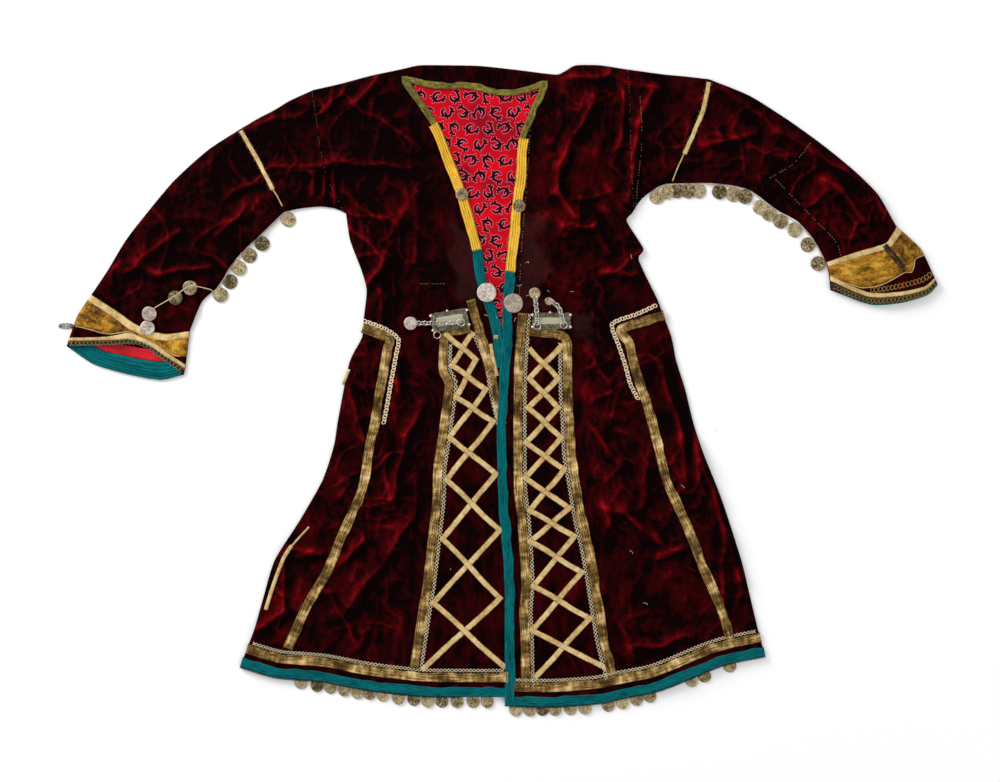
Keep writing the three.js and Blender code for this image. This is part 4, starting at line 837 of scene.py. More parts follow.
# Back lining: printed cotton, seen through the open neck, as far as a hand's breadth under the fronts.
# It is sewn to the back under the olive binding. Black scrolls edged with pink stand in
# staggered rows on red, each turned a quarter from the one beside it.
LINING_LOW = 1.9
LINING_THICK = 1.0
LINING_WAVES = 0.55
LINING_REACH = 16
PRINT_REPEAT = (25.0, 24.0)
# the open ring of a scroll: its radius, how thick it is and how much thinner at its mouth, and where
# that starts
SCROLL_RADIUS = 6.3
SCROLL_THICK, SCROLL_THINNER = 1.95, -1.1
SCROLL_MOUTH = 0.64
# a curled leaf on one end, a hook on the other, a comma within and two thorns: place in the scroll,
# and radius
SCROLL_LEAVES = [
    (-3.8, 6.8, 1.9), (-4.6, 9.6, 1.5), (-6.8, 6.4, 1.7), (-8.6, 4.2, 1.5), (-8.4, 8.6, 1.0),
    (-4.0, -4.9, 1.2), (-4.9, -3.6, 0.9), (3.4, 0.6, 1.4), (1.6, -0.5, 1.3), (0.2, -1.9, 1.0),
    (8.8, 3.6, 1.2), (10.2, 4.8, 0.8), (8.2, -4.6, 1.2), (9.4, -6.0, 0.8),
]
PRINT_RED = (0.62, 0.003, 0.010, 1)
PRINT_RED_DEEP = (0.20, 0.003, 0.010, 1)
PRINT_BLACK = (0.016, 0.002, 0.006, 1)
PRINT_PINK = (0.80, 0.13, 0.19, 1)


class Sum:
    """A number that a material's nodes work out, written as plain arithmetic."""

    def __init__(self, tree, socket):
        self.tree, self.socket = tree, socket

    def worked(self, operation, *others):
        values = [other.socket if isinstance(other, Sum) else other for other in (self, *others)]
        node = add_node(self.tree, "ShaderNodeMath", enumerate(values), operation=operation)
        return Sum(self.tree, node.outputs[0])

    def __add__(self, other):
        return self.worked("ADD", other)

    def __sub__(self, other):
        return self.worked("SUBTRACT", other)

    def __mul__(self, other):
        return self.worked("MULTIPLY", other)

    def length(self, other):
        return (self * self + other * other).worked("SQRT")


def printed_cotton():
    """Red cotton with its scroll print, both worked out from the place on the cloth."""
    material, tree, shader = new_material("printed_lining", 0.9, specular=0.03)
    place = add_node(tree, "ShaderNodeTexCoord").outputs["Object"]
    drift = add_node(tree, "ShaderNodeTexNoise", {"Vector": place, "Scale": 26.0, "Detail": 1.0})
    drift = drift.outputs["Color"]
    in_mm, drifted = (
        add_node(tree, "ShaderNodeVectorMath", {0: value, 1: factor}, operation="MULTIPLY").outputs[0]
        for value, factor in [(place, (1000, 1000, 1000)), (drift, (5, 5, 0))]
    )
    moved = add_node(tree, "ShaderNodeVectorMath", {0: in_mm, 1: drifted}, operation="ADD")
    apart = add_node(tree, "ShaderNodeSeparateXYZ", {"Vector": moved.outputs[0]})
    x, y = Sum(tree, apart.outputs["X"]), Sum(tree, apart.outputs["Y"])
    wide, high = PRINT_REPEAT
    row_place = y * (1 / high) + 400
    row = row_place.worked("FLOOR")
    odd_row = row.worked("MODULO", 2)
    column_place = x * (1 / wide) + 400 + odd_row * 0.5
    column = column_place.worked("FLOOR")
    across = (column_place - column - 0.5) * wide
    up = (row_place - row - 0.5) * high
    turn = (column * 1.0 + row * 1.0).worked("MODULO", 4) * (math.pi / 2) + 0.5 + odd_row * 0.8
    cosine, sine = turn.worked("COSINE"), turn.worked("SINE")
    u, v = across * cosine + up * sine, up * cosine - across * sine
    out = u.length(v)
    angle = v.worked("ARCTAN2", u)
    round_share = angle.worked("ABSOLUTE") * (1 / math.pi)
    ring = (out - SCROLL_RADIUS).worked("ABSOLUTE") - (round_share * SCROLL_THINNER + SCROLL_THICK)
    shape = ring.worked("MAXIMUM", (round_share - SCROLL_MOUTH) * 18)
    for leaf_u, leaf_v, radius in SCROLL_LEAVES:
        shape = shape.worked("SMOOTH_MIN", (u - leaf_u).length(v - leaf_v) - radius, 0.5)
    ragged = noise_of(tree, place, 900.0, detail=2.0)
    shape = shape + (Sum(tree, ragged) - 0.5) * 0.9

    # worn ground, then a pink edge and a black middle where the scroll is: value, from, to, under, over
    colour = PRINT_RED
    for value, start, end, over in [
        (noise_of(tree, place, 14.0, detail=4.0), 0.6, 0.34, PRINT_RED_DEEP),
        (shape.socket, 1.2, 0.8, PRINT_PINK),
        (shape.socket, 0.55, 0.15, PRINT_BLACK),
    ]:
        share = add_node(tree, "ShaderNodeMapRange", {"Value": value, "From Min": start, "From Max": end})
        mix = {"Factor": share.outputs["Result"], 6: colour, 7: over}
        colour = add_node(tree, "ShaderNodeMix", mix, data_type="RGBA").outputs[2]
    tree.links.new(colour, shader.inputs["Base Color"])
    weave = noise_of(tree, place, 1500.0, detail=2.0)
    tree.links.new(bump(tree, weave, 0.25, 0.0004), shader.inputs["Normal"])
    return material


def wavy(x, y, low, tall, seed):
    """Soft waves of cloth that lies loose, over a given height."""
    return low + tall * (0.6 * noise(x + 0.4 * y, y, 46, seed) + 0.4 * noise(x, y, 17, seed + 1))


lining_sides = (
    joined([(x, y + 5) for x, y in BACK_NECKLINE[1:-1]]), joined([(-8, 56), (14, 56)]),
    joined(EDGE_RIGHT) - (LINING_REACH, 0), joined(EDGE_LEFT) + (LINING_REACH, 0),
)
places = place_at(lining_sides, *np.meshgrid(share_steps(150), share_steps(380)))
x, y = places[..., 0], places[..., 1]
top = wavy(x, y, LINING_LOW + LINING_THICK, LINING_WAVES, 91)
points = np.vstack([in_frame(x, y, z).reshape(-1, 3) for z in (top, top - LINING_THICK)])
piece = add_object("printed_back_lining", printed_cotton(), points, sheet_faces(*x.shape))
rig.ride(piece, "root")
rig.slot(piece, "lining")
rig.replaces(piece, "back_lining")
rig.sheet(piece, held="laid", rests_on="back_bodice", **cut_of(places))

# Bindings: corded silk tape along the neck and down both front edges, folded over the raw edge.
# It is olive at the neck, yellow over the breast and teal below; the cords are sewn in side by side.
# The right front's end slips under the left front's.
OLIVE_WIDE = 9
YELLOW_WIDE = 14
TEAL_WIDE = 14
CORD_GROOVE = 0.5


def evenly(line, spacing):
    """Points a spacing apart along a line."""
    line = np.asarray(line, dtype=float)
    far = np.concatenate([[0], np.cumsum(np.linalg.norm(np.diff(line, axis=0), axis=1))])
    at = np.linspace(0, far[-1], max(2, int(round(far[-1] / spacing))) + 1)
    return np.stack([np.interp(at, far, line[:, k]) for k in range(line.shape[1])], axis=-1), at


def to_its_left(line):
    """The level direction to the left of a line's way, at each of its points."""
    way = np.gradient(np.asarray(line, dtype=float)[:, :2], axis=0)
    way /= np.linalg.norm(way, axis=1, keepdims=True) + 1e-9
    return np.stack([-way[:, 1], way[:, 0]], axis=-1)


# how deep a trim sinks into the pile, how thin it may get, and how low its two sides may lie
RIBBON_SUNK = 0.3
RIBBON_THINNEST = 0.5
RIBBON_TOP_LOWEST = 0.4
RIBBON_LOWEST = 0.05


def ribbon(line, profile, spacing=2.5, lift=0.0, uneven=0.0, seed=1, from_y=None, to_y=None):
    """A narrow ware laid along a line: its top side from offsets and heights, its low side in the pile."""
    line = curve_through(line)
    if from_y is not None:
        top_end, low_end = ([np.interp(-y, -line[:, 1], line[:, 0]), y] for y in (from_y, to_y))
        line = np.vstack([top_end, line[(line[:, 1] < from_y - 0.5) & (line[:, 1] > to_y + 0.5)], low_end])
    line, along = evenly(line, spacing)
    beside = to_its_left(line)
    offsets, heights = np.array(profile, dtype=float).T
    sway = uneven * 2 * (noise(along, along * 0 + seed, 14, 7 + seed) - 0.5)[:, None]
    reach = offsets * (1 + 0.12 * sway) + sway * 0.6
    x = line[:, 0, None] + beside[:, 0, None] * reach
    y = line[:, 1, None] + beside[:, 1, None] * reach
    pleat = uneven * 0.7 * (noise(along, along * 0 + seed, 5, 31 + seed) - 0.5)[:, None] * (heights > 0.3)
    base = top_of(x, y)
    raised = np.broadcast_to(np.asarray(lift, dtype=float), (len(along),))[:, None]
    high = np.maximum(base + heights + pleat + raised, RIBBON_TOP_LOWEST)
    low = np.maximum(np.minimum(base - RIBBON_SUNK, high - RIBBON_THINNEST), RIBBON_LOWEST)
    marks = along[:, None] + 0 * x, offsets + 0 * x
    rows = [np.stack([x, y, z, *marks], axis=-1).reshape(-1, 5) for z in (high, low)]
    return np.vstack(rows), [sheet_faces(*x.shape)]


def put_together(parts):
    """Several meshes as one: all their points, and their faces with the numbers moved on."""
    points, faces, start = [], [], 0
    for part_points, part_faces in parts:
        points.append(part_points)
        faces += [np.asarray(group) + start for group in part_faces]
        start += len(part_points)
    return np.vstack(points), faces


def add_trim(name, material, slot, parts, nodes=(), body="root"):
    """A piece of trim from its meshes; each point holds its place, and how far along and across it is."""
    points, faces = put_together(parts)
    piece = add_object(
        name, material, in_frame(*points[:, :3].T), faces, along=points[:, 3], across=points[:, 4]
    )
    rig.ride(piece, body)
    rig.slot(piece, slot)
    if nodes:
        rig.replaces(piece, *nodes)
    return piece


def corded(wide, cords, tall=1.0, outward=1, folded=True):
    """The section of a corded tape: ridges side by side, and one edge folded down over the cloth's."""
    rows = [(-0.9, -2.4), (-0.8, -0.6)] if folded else [(0, 0.05)]
    for k in range(cords):
        rows += [((k + part) * wide / cords, CORD_GROOVE + tall * rise)
                 for part, rise in [(0.08, 0.0), (0.3, 0.8), (0.55, 1.0), (0.85, 0.7)]]
    rows += [(wide, 0.1)]
    return rows if outward > 0 else [(-offset, height) for offset, height in rows][::-1]


def narrow_ware(
    name, colours, grains, roughness=0.75, metallic=0.0, ribs=1.1, rib_depth=0.25, sheen=0.0, specular=0.25,
    selvedge=None, cords=None,
):
    """A woven trim: colour from noise of several grains, each in strokes along or across, and a fine rib.

    It may be darker at its selvedge, and in the grooves between its cords.
    """
    material, tree, shader = new_material(name, roughness, metallic, specular)
    shader.inputs["Sheen Weight"].default_value = sheen
    along, across = (
        Sum(tree, add_node(tree, "ShaderNodeAttribute", attribute_name=mark).outputs["Fac"])
        for mark in ("along", "across")
    )
    total = None
    for k, (long_grain, cross_grain, weight) in enumerate(grains):
        spot = {0: (along * (1 / long_grain)).socket, 1: (across * (1 / cross_grain)).socket, 2: 3.7 * k}
        spot = add_node(tree, "ShaderNodeCombineXYZ", spot).outputs[0]
        part = (Sum(tree, noise_of(tree, spot, 1.0, detail=3.0)) - 0.5) * weight
        total = part if total is None else total + part
    if selvedge:
        from_middle = across.worked("ABSOLUTE").socket
        limits = {"Value": from_middle, "From Min": selvedge - 1.1, "From Max": selvedge, "To Max": 0.45}
        total = total - Sum(tree, add_node(tree, "ShaderNodeMapRange", limits).outputs["Result"])
    if cords:
        groove = (across * (2 * math.pi / cords)).worked("COSINE").worked("MAXIMUM", 0)
        total = total - groove.worked("POWER", 5) * 0.34
    shade = ramp(tree, (total + 0.5).socket, colours)
    tree.links.new(shade, shader.inputs["Base Color"])
    rib = (along * (2 * math.pi * ribs)).worked("SINE") * (across * (2 * math.pi * ribs)).worked("COSINE")
    height = rib * 0.4 + total * 1.6
    tree.links.new(bump(tree, height.socket, rib_depth * 2, 0.0006), shader.inputs["Normal"])
    return material


olive_silk = narrow_ware(
    "olive_silk",
    [(0.2, (0.03, 0.026, 0.002)), (0.45, (0.12, 0.105, 0.005)), (0.75, (0.3, 0.25, 0.02))],
    [(9, 1.2, 1.3), (3, 3, 0.5), (40, 20, 0.7)],
    sheen=0.2,
)
yellow_silk = narrow_ware(
    "yellow_silk",
    [(0.12, (0.20, 0.085, 0.006)), (0.4, (0.76, 0.42, 0.028)), (0.8, (0.92, 0.60, 0.075))],
    [(14, 0.9, 1.0), (2.5, 2.5, 0.35), (30, 20, 0.6)],
    sheen=0.05,
    specular=0.12,
    cords=YELLOW_WIDE / 4,
)
teal_silk = narrow_ware(
    "teal_silk",
    [(0.12, (0.0, 0.012, 0.020)), (0.42, (0.0, 0.092, 0.104)), (0.85, (0.001, 0.195, 0.200))],
    [(14, 1.1, 1.2), (2.5, 2.5, 0.35), (40, 9, 0.7)],
    roughness=0.9,
    specular=0.08,
)
# each front's edge line, the side its binding lies to, and the y where its colours start and end
FRONT_EDGES = {
    "right": ([*EDGE_RIGHT[:-1], (4, 69), (8, 20)], -1, [461, 390, 202, 25]),
    "left": ([*EDGE_LEFT, *SKIRT_EDGE[1:]], 1, [454, 367, 168, -482.9]),
}
neck_line = [(-143, 453), *[(x, y - 4) for x, y in BACK_NECKLINE[1:-1]], (66, 446)]
neck_parts = [ribbon(neck_line, corded(OLIVE_WIDE, 2, 0.8, 1, False), uneven=1.2)]
for side, (line, outward, ends) in FRONT_EDGES.items():
    lift = 0.0 if side == "right" else 0.5
    profile = corded(OLIVE_WIDE, 2, 0.8, outward)
    neck_parts.append(
        ribbon(line, profile, lift=lift + 0.5, uneven=1.0, seed=4, from_y=ends[0], to_y=ends[1])
    )
    for colour, material, wide, raised, seed, start, end in [
        ("yellow", yellow_silk, YELLOW_WIDE, lift + 0.3, 5, ends[1] + 2, ends[2]),
        ("teal", teal_silk, TEAL_WIDE, lift * 2, 6, ends[2] + 2, ends[3]),
    ]:
        profile = corded(wide, 4, 0.9, outward)
        tape = ribbon(line, profile, lift=raised, uneven=0.8, seed=seed, from_y=start, to_y=end)
        node = f"{colour}_binding_{side}"
        add_trim(f"{node}_silk", material, f"{colour}_binding", [tape], [node])
add_trim("neck_binding_silk", olive_silk, "olive_binding", neck_parts, ["neck_binding"])

# Galloons: flat braid of gilt thread, gathered a little as it is sewn, with darker worn bands.
# One runs down each side of both lattice panels and one above the hem; the two at the
# sides of the skirt turn at its waist.
GALLOON_WIDE = 15
BUNCH_TALL = 1.6
GALLOON_OUTER_RIGHT = [
    (-45, 84), (-80, 77), (-84, 60), (-85, 20), (-76, 0), (-80, -36), (-86, -81),
    (-93, -128), (-94, -172), (-100, -225), (-108, -294), (-117, -351), (-128, -425),
]
GALLOON_INNER_RIGHT = [(-44, 126), (-22, 48), (-8, -12), (3, -60)]
GALLOON_INNER_LEFT = [
    (34, 106), (28, 21), (27, -69), (28, -159), (33, -201), (39, -294), (36, -339), (38, -386), (39, -455),
]
GALLOON_OUTER_LEFT = [
    (42, 79), (88, 74), (100, 62), (101, -16), (104, -58), (106, -105), (114, -152),
    (122, -201), (133, -248), (141, -294), (148, -339), (156, -386), (170, -440),
]
SIDE_GALLOON_RIGHT = [
    (-206, 84), (-166, 68), (-169, 51), (-174, 21), (-181, -14), (-187, -57), (-195, -92),
    (-206, -158), (-236, -226), (-258, -279), (-290, -334), (-318, -396),
]
SIDE_GALLOON_LEFT = [
    (246, 103), (181, 82), (193, 62), (200, 30), (208, 4), (220, -29), (237, -93),
    (251, -148), (279, -210), (304, -274), (334, -344), (346, -388),
]
gilt_braid = narrow_ware(
    "gilt_braid",
    [(0.16, (0.010, 0.004, 0.001)), (0.40, (0.11, 0.056, 0.011)), (0.60, (0.36, 0.22, 0.066)),
     (0.86, (0.84, 0.64, 0.32))],
    [(30, 1.5, 1.0), (6, 14, 0.6), (24, 30, 1.1), (1.4, 1.4, 0.5)],
    roughness=0.5,
    metallic=0.2,
    specular=0.12,
    ribs=0.8,
    rib_depth=0.15,
    selvedge=GALLOON_WIDE / 2,
)


def galloon(line, lift=0.0, seed=1):
    """A gathered galloon: a cord at each edge, and a bunch across it every so often."""
    half = GALLOON_WIDE / 2
    right = [(0, 0.85), (half * 0.35, 1.05), (half - 2.6, 0.7)]
    right += [(half - 1.7, 1.2), (half - 0.5, 1.0), (half, 0.1)]
    left = [(-offset, height) for offset, height in right[:1:-1]] + [(-half * 0.35, 1.0)]
    points, faces = ribbon(line, left + right, spacing=2.0, lift=lift + 0.2, uneven=1.0, seed=seed)
    bunch = np.sin(points[:, 3] / 17 + 2 * np.sin(points[:, 3] / 41 + seed)) ** 14
    points[:, 2] += np.where(np.arange(len(points)) < len(points) // 2, BUNCH_TALL * bunch, 0)
    return points, faces


def along_skirt(side, up, share_from=0.004, share_to=0.996):
    """A line across a skirt front, some way up from its hem."""
    hem = curve_through(HEM_RIGHT if side == "right" else HEM_LEFT)
    line = evenly(hem, 8)[0]
    rows = np.linspace(share_from, share_to, len(line)) * (len(line) - 1)
    line = np.stack([np.interp(rows, np.arange(len(line)), line[:, k]) for k in (0, 1)], axis=-1)
    return line + to_its_left(line) * up


for name, line in [
    ("galloon_inner_right", GALLOON_INNER_RIGHT), ("galloon_outer_right", GALLOON_OUTER_RIGHT),
    ("galloon_inner_left", GALLOON_INNER_LEFT), ("galloon_outer_left", GALLOON_OUTER_LEFT),
    ("side_galloon_right", SIDE_GALLOON_RIGHT), ("side_galloon_left", SIDE_GALLOON_LEFT),
]:
    gathered = galloon(line, seed=len(name) + line[0][0] % 7)
    add_trim(f"{name}_gilt", gilt_braid, "galloon", [gathered], [name])

# Hem: a teal corded binding over the edge, a strip of bare velvet, and a galloon above it.
# Each is sewn on along the whole hem of its front.
HEM_TEAL_WIDE = 15
HEM_BARE_WIDE = 7
for side in ("right", "left"):
    middle_up = HEM_TEAL_WIDE + HEM_BARE_WIDE + GALLOON_WIDE / 2
    add_trim(
        f"hem_galloon_{side}_gilt", gilt_braid, "galloon",
        [galloon(along_skirt(side, middle_up), lift=0.2, seed=3)], [f"hem_galloon_{side}"],
    )
    add_trim(
        f"hem_binding_{side}_silk", teal_silk, "teal_binding",
        [ribbon(along_skirt(side, 0.8, 0, 1), corded(HEM_TEAL_WIDE - 1, 4, 0.8), uneven=0.8, seed=8)],
        [f"hem_binding_{side}"],
    )

# Lattice: cream cotton tape, folded back and forth between the galloons of each front.
# Two lengths cross each other, one over and then under.
TAPE_WIDE = 8.5
TAPE_OVER = 0.9
FOLD_PAST = 3.4
LATTICE_RIGHT = [
    [(-80, 74), (-36, 36), (-66, -20), (-10, -56), (-80, -144), (0, -219), (-100, -328), (6, -423)],
    [(-42, 75), (-72, 28), (-21, -8), (-75, -80), (-6, -135), (-86, -232), (0, -321), (-114, -426)],
]
LATTICE_LEFT = [
    [
        (46, 51), (87, 8), (42, -36), (92, -80), (38, -141),
        (104, -186), (45, -236), (123, -282), (48, -369), (160, -426),
    ],
    [
        (92, 57), (44, 8), (87, -36), (39, -88), (96, -128),
        (45, -190), (112, -228), (50, -303), (135, -351), (54, -438),
    ],
]
cream_cotton = narrow_ware(
    "cream_cotton",
    [(0.15, (0.2, 0.10, 0.03)), (0.36, (0.56, 0.37, 0.14)), (0.6, (0.78, 0.58, 0.28)),
     (0.9, (0.86, 0.7, 0.4))],
    [(10, 0.8, 0.75), (1.8, 7, 0.6), (24, 12, 0.8)],
    roughness=0.9,
    ribs=1.3,
    rib_depth=0.35,
    specular=0.12,
    selvedge=TAPE_WIDE / 2,
)
TAPE_PROFILE = [(-TAPE_WIDE / 2, 0.1), (-TAPE_WIDE / 2 + 0.3, 0.75), (-TAPE_WIDE / 4, 0.8), (0, 0.9),
                (TAPE_WIDE / 4, 0.8), (TAPE_WIDE / 2 - 0.3, 0.75), (TAPE_WIDE / 2, 0.1)]


def folded_tape(corners, starts_over):
    """A tape through its corners, laid over itself at each; it goes over and under the other by turns."""
    parts = []
    for k, (start, end) in enumerate(zip(corners, corners[1:])):
        start, end = np.array(start, dtype=float), np.array(end, dtype=float)
        way = (end - start) / np.linalg.norm(end - start)
        aside = np.array([-way[1], way[0]])
        bows = [
            start + (end - start) * part + aside * math.sin(7 * k + start[0] + 9 * part)
            for part in (0.3, 0.7)
        ]
        line = [start - way * FOLD_PAST, *bows, end + way * FOLD_PAST]
        share = evenly(curve_through(line), 2.5)[1]
        share = share / share[-1]
        over = (k % 2 == 0) == starts_over
        lift = TAPE_OVER * (1 - (smoothstep(share, 0.6, 0.95) if over else smoothstep(share, 0.08, 0.3)))
        parts.append(ribbon(line, TAPE_PROFILE, lift=lift, uneven=0.35, seed=k))
    return parts


for side, lines in [("right", LATTICE_RIGHT), ("left", LATTICE_LEFT)]:
    add_trim(
        f"lattice_{side}_tape", cream_cotton, "cream_tape",
        folded_tape(lines[0], True) + folded_tape(lines[1], False), [f"lattice_{side}"],
    )

# Sleeve tapes: cream cotton tape sewn down flat over the seam above each elbow.
# Past its end each tape is drawn in to a cord along the same seam.
SLEEVE_TAPE = [(-3, 0.1), (-2.7, 0.7), (-1, 0.9), (1, 0.9), (2.7, 0.7), (3, 0.1)]
SLEEVE_CORD = [(-0.9, 0.1), (-0.5, 0.9), (0.5, 0.9), (0.9, 0.1)]
for name, line, rows, lift, uneven, nodes in [
    ("right_cotton", [(-388, 379), *TAPE_LINE_RIGHT[1:-1]], SLEEVE_TAPE, 0.6, 0.8, ["sleeve_tape_right"]),
    ("left_cotton", [(313, 452), *TAPE_LINE_LEFT[1:-1]], SLEEVE_TAPE, 0.6, 0.8, ["sleeve_tape_left"]),
    ("right_cord", [TAPE_LINE_RIGHT[-2], (-334, 282), (-326, 266)], SLEEVE_CORD, 0.5, 0.5, []),
    ("left_cord", [TAPE_LINE_LEFT[-2], (267, 326), (258, 304)], SLEEVE_CORD, 0.5, 0.5, []),
]:
    tape = ribbon(line, rows, lift=lift, uneven=uneven)
    add_trim(f"sleeve_tape_{name}", cream_cotton, "cream_tape", [tape], nodes)

# Cuffs: a cream tape, then gold brocade over the velvet, a cream tape again, and a dark braid with
# gold scrolls at the edge. All are sewn on flat, and where the right cuff is notched they crowd together.
# where each starts and ends: the top tape from the cuff's top, the low tape and the braid from its edge
CUFF_TAPE = (0.6, 9.0)
CUFF_LOW_TAPE = (21.0, 12.5)
CUFF_BRAID = (12.0, 1.0)
FULL_CUFF = 33
# share across the cuff, and how far from its edge (right) or from its top (left) the brocade ends
BROCADE_END_RIGHT = [(0, 42), (0.12, 34), (0.25, 24), (0.45, 21), (0.6, 20), (0.85, 22), (1, 32)]
BROCADE_END_LEFT = [
    (0, 46), (0.2, 40), (0.33, 52), (0.4, 47), (0.5, 47), (0.65, 55), (0.78, 54), (0.85, 45), (0.92, 36),
    (1, 25),
]
CUFF_COLUMNS = 70
CUFF_ROUND = 170
gold_brocade = narrow_ware(
    "gold_brocade",
    [(0.15, (0.04, 0.014, 0.003)), (0.4, (0.22, 0.095, 0.007)), (0.6, (0.46, 0.215, 0.014)),
     (0.85, (0.68, 0.40, 0.06))],
    [(26, 9, 1.2), (4, 2.5, 0.8), (40, 40, 1.2), (1.2, 1.2, 0.5)],
    roughness=0.5,
    metallic=0.25,
    specular=0.12,
    ribs=0.9,
    rib_depth=0.4,
)
dark_braid = narrow_ware(
    "dark_braid",
    [(0.2, (0.003, 0.003, 0.002)), (0.5, (0.012, 0.012, 0.006)), (0.85, (0.06, 0.048, 0.012))],
    [(3, 2, 1.0), (9, 4, 0.7)],
    ribs=0.9,
    rib_depth=0.4,
)
gold_thread = narrow_ware(
    "gold_thread",
    [(0.2, (0.2, 0.09, 0.015)), (0.5, (0.45, 0.26, 0.06)), (0.8, (0.75, 0.52, 0.2))],
    [(1.5, 1, 0.9), (8, 3, 0.6)],
    roughness=0.4,
    metallic=0.6,
    ribs=1.5,
)


def wire(path, radius, sides=6, closed=False, facing=(0, 0, 1)):
    """A round wire or thread along a path; its radius may change from point to point."""
    path = np.asarray(path, dtype=float)
    way = np.roll(path, -1, axis=0) - np.roll(path, 1, axis=0) if closed else np.gradient(path, axis=0)
    way /= np.linalg.norm(way, axis=1, keepdims=True) + 1e-9
    facing = np.array(facing, dtype=float)
    side = facing - way * (way @ facing)[:, None]
    side /= np.linalg.norm(side, axis=1, keepdims=True) + 1e-9
    other = np.cross(way, side)
    turn = np.arange(sides) / sides * 2 * math.pi
    radius = np.broadcast_to(np.asarray(radius, dtype=float), (len(path),))[:, None, None]
    round_about = np.cos(turn)[None, :, None] * side[:, None] + np.sin(turn)[None, :, None] * other[:, None]
    points = (path[:, None] + radius * round_about).reshape(-1, 3)
    along = np.concatenate([[0], np.cumsum(np.linalg.norm(np.diff(path, axis=0), axis=1))])
    marks = np.stack([np.repeat(along, sides), np.tile(turn, len(path))], axis=-1)
    wrap = wrapped(len(path), sides)
    if closed:
        return np.hstack([points, marks]), [quads(np.vstack([wrap, wrap[:1]]), inward=True)]
    return np.hstack([points, marks]), [quads(wrap, inward=True), wrap[:1, -2::-1], wrap[-1:, :-1]]


def laid_thread(line, radius, lift=0.0, spacing=1.5, sides=5):
    """A thread that lies on the velvet along a line."""
    line = evenly(curve_through(line), spacing)[0]
    return wire(np.column_stack([line, top_of(line[:, 0], line[:, 1]) + radius + lift]), radius, sides)


def cuff_lengths(sides, shares):
    """How long a cuff is from its top to its edge, at shares across it."""
    top, edge = (place_at(sides, shares, 0 * shares + k) for k in (0, 1))
    return np.linalg.norm(top - edge, axis=-1)


def cuff_places(sides, shares, distance, from_edge):
    """Places across a cuff, at a distance from its top or its edge; a short stretch crowds them together."""
    long = cuff_lengths(sides, shares)
    reach = distance * np.minimum(1, long / FULL_CUFF)
    return place_at(sides, shares, (long - reach if from_edge else reach) / long)


def cuff_band(sides, near, far, rows, tall):
    """A flat ware round a cuff's front; near and far are distances across it, and whether from its edge."""
    shares = np.linspace(0.004, 0.996, CUFF_COLUMNS)
    long = cuff_lengths(sides, shares)
    ends = []
    for distances, from_edge in (near, far):
        reach = np.interp(shares, *np.array(distances).T) * np.minimum(1, long / FULL_CUFF)
        ends.append((long - reach if from_edge else reach) / long)
    steps = np.linspace(0, 1, rows)[:, None]
    down = ends[0] * (1 - steps) + ends[1] * steps
    grid = place_at(sides, np.broadcast_to(shares, down.shape), down)
    x, y = grid[..., 0], grid[..., 1]
    base = top_of(x, y)
    rim = np.sqrt(1 - np.abs(np.linspace(-1, 1, rows)) ** 6)[:, None]
    high = base + 0.1 + tall * rim * (0.8 + 0.4 * noise(x, y, 5, 61))
    low = np.minimum(base - RIBBON_SUNK, high - RIBBON_THINNEST)
    along = np.linspace(0, 1, CUFF_COLUMNS)[None] * CUFF_ROUND + 0 * x
    across = (down - (ends[0] + ends[1]) / 2) * long
    parts = [np.stack([x, y, z, along, across], axis=-1).reshape(-1, 5) for z in (high, low)]
    return np.vstack(parts), [sheet_faces(*x.shape)]


def level(distance):
    """The same distance all across a cuff."""
    return [(0, distance), (1, distance)]


def couched_scrolls(sides, middle, swing, pitch, seed, s_to=0.98, thick=0.3):
    """Two gold threads that weave about a line round a cuff and cross in each loop."""
    shares = np.linspace(0.02, s_to, 420)
    parts = []
    line = cuff_places(sides, shares, np.interp(shares, *np.array(middle).T), True)
    far = np.concatenate([[0], np.cumsum(np.linalg.norm(np.diff(line, axis=0), axis=1))])
    beside = to_its_left(line)
    squeeze = np.minimum(1, cuff_lengths(sides, shares) / FULL_CUFF)
    for phase in (0, math.pi):
        turn = 2 * math.pi * far / pitch + phase + seed
        here = line + beside * (swing * squeeze * np.sin(turn))[:, None]
        here += 0.7 * np.stack([np.cos(2 * turn), np.sin(2 * turn)], axis=-1)
        height = top_of(here[:, 0], here[:, 1]) + 1.5 + 0.35 * np.cos(turn)
        parts.append(wire(np.column_stack([here, height]), thick, 5))
    return parts


for side, brocade_end in [("right", (BROCADE_END_RIGHT, True)), ("left", (BROCADE_END_LEFT, False))]:
    sides = sleeve_sides[f"cuff_{side}"]
    for part, material, slot, node, near, far, rows, tall in [
        ("brocade_cloth", gold_brocade, "brocade", "brocade", (level(CUFF_TAPE[1] - 1), False), brocade_end,
         14, 0.7),
        ("top_tape_cotton", cream_cotton, "cream_tape", "top_tape",
         *[(level(distance), False) for distance in CUFF_TAPE], 7, 1.1),
        ("low_tape_cotton", cream_cotton, "cream_tape", "low_tape",
         *[(level(distance), True) for distance in CUFF_LOW_TAPE], 7, 1.1),
        ("braid_dark", dark_braid, "scroll_braid", "scroll_braid",
         *[(level(distance), True) for distance in CUFF_BRAID], 8, 1.1),
    ]:
        band = cuff_band(sides, near, far, rows, tall)
        add_trim(f"cuff_{side}_{part}", material, slot, [band], [f"cuff_{side}_{node}"])
    scrolls = couched_scrolls(sides, level(6.5), 3.7, 12, len(side))
    add_trim(f"cuff_{side}_scrolls", gold_thread, "galloon", scrolls)
    # a cord at the brocade's lower edge, and the thin teal edge of the cuff
    shares = np.linspace(0.02, 0.98, 60)
    cord = cuff_places(sides, shares, np.interp(shares, *np.array(brocade_end[0]).T), brocade_end[1])
    add_trim(f"cuff_{side}_brocade_edge", cream_cotton, "cream_tape", [laid_thread(cord[::4], 0.75, 0.2)])
    edge = cuff_places(sides, shares, 0 * shares + 0.4, True)
    add_trim(f"cuff_{side}_teal_edge", teal_silk, "teal_binding", [laid_thread(edge[::4], 1.0, -0.3)])
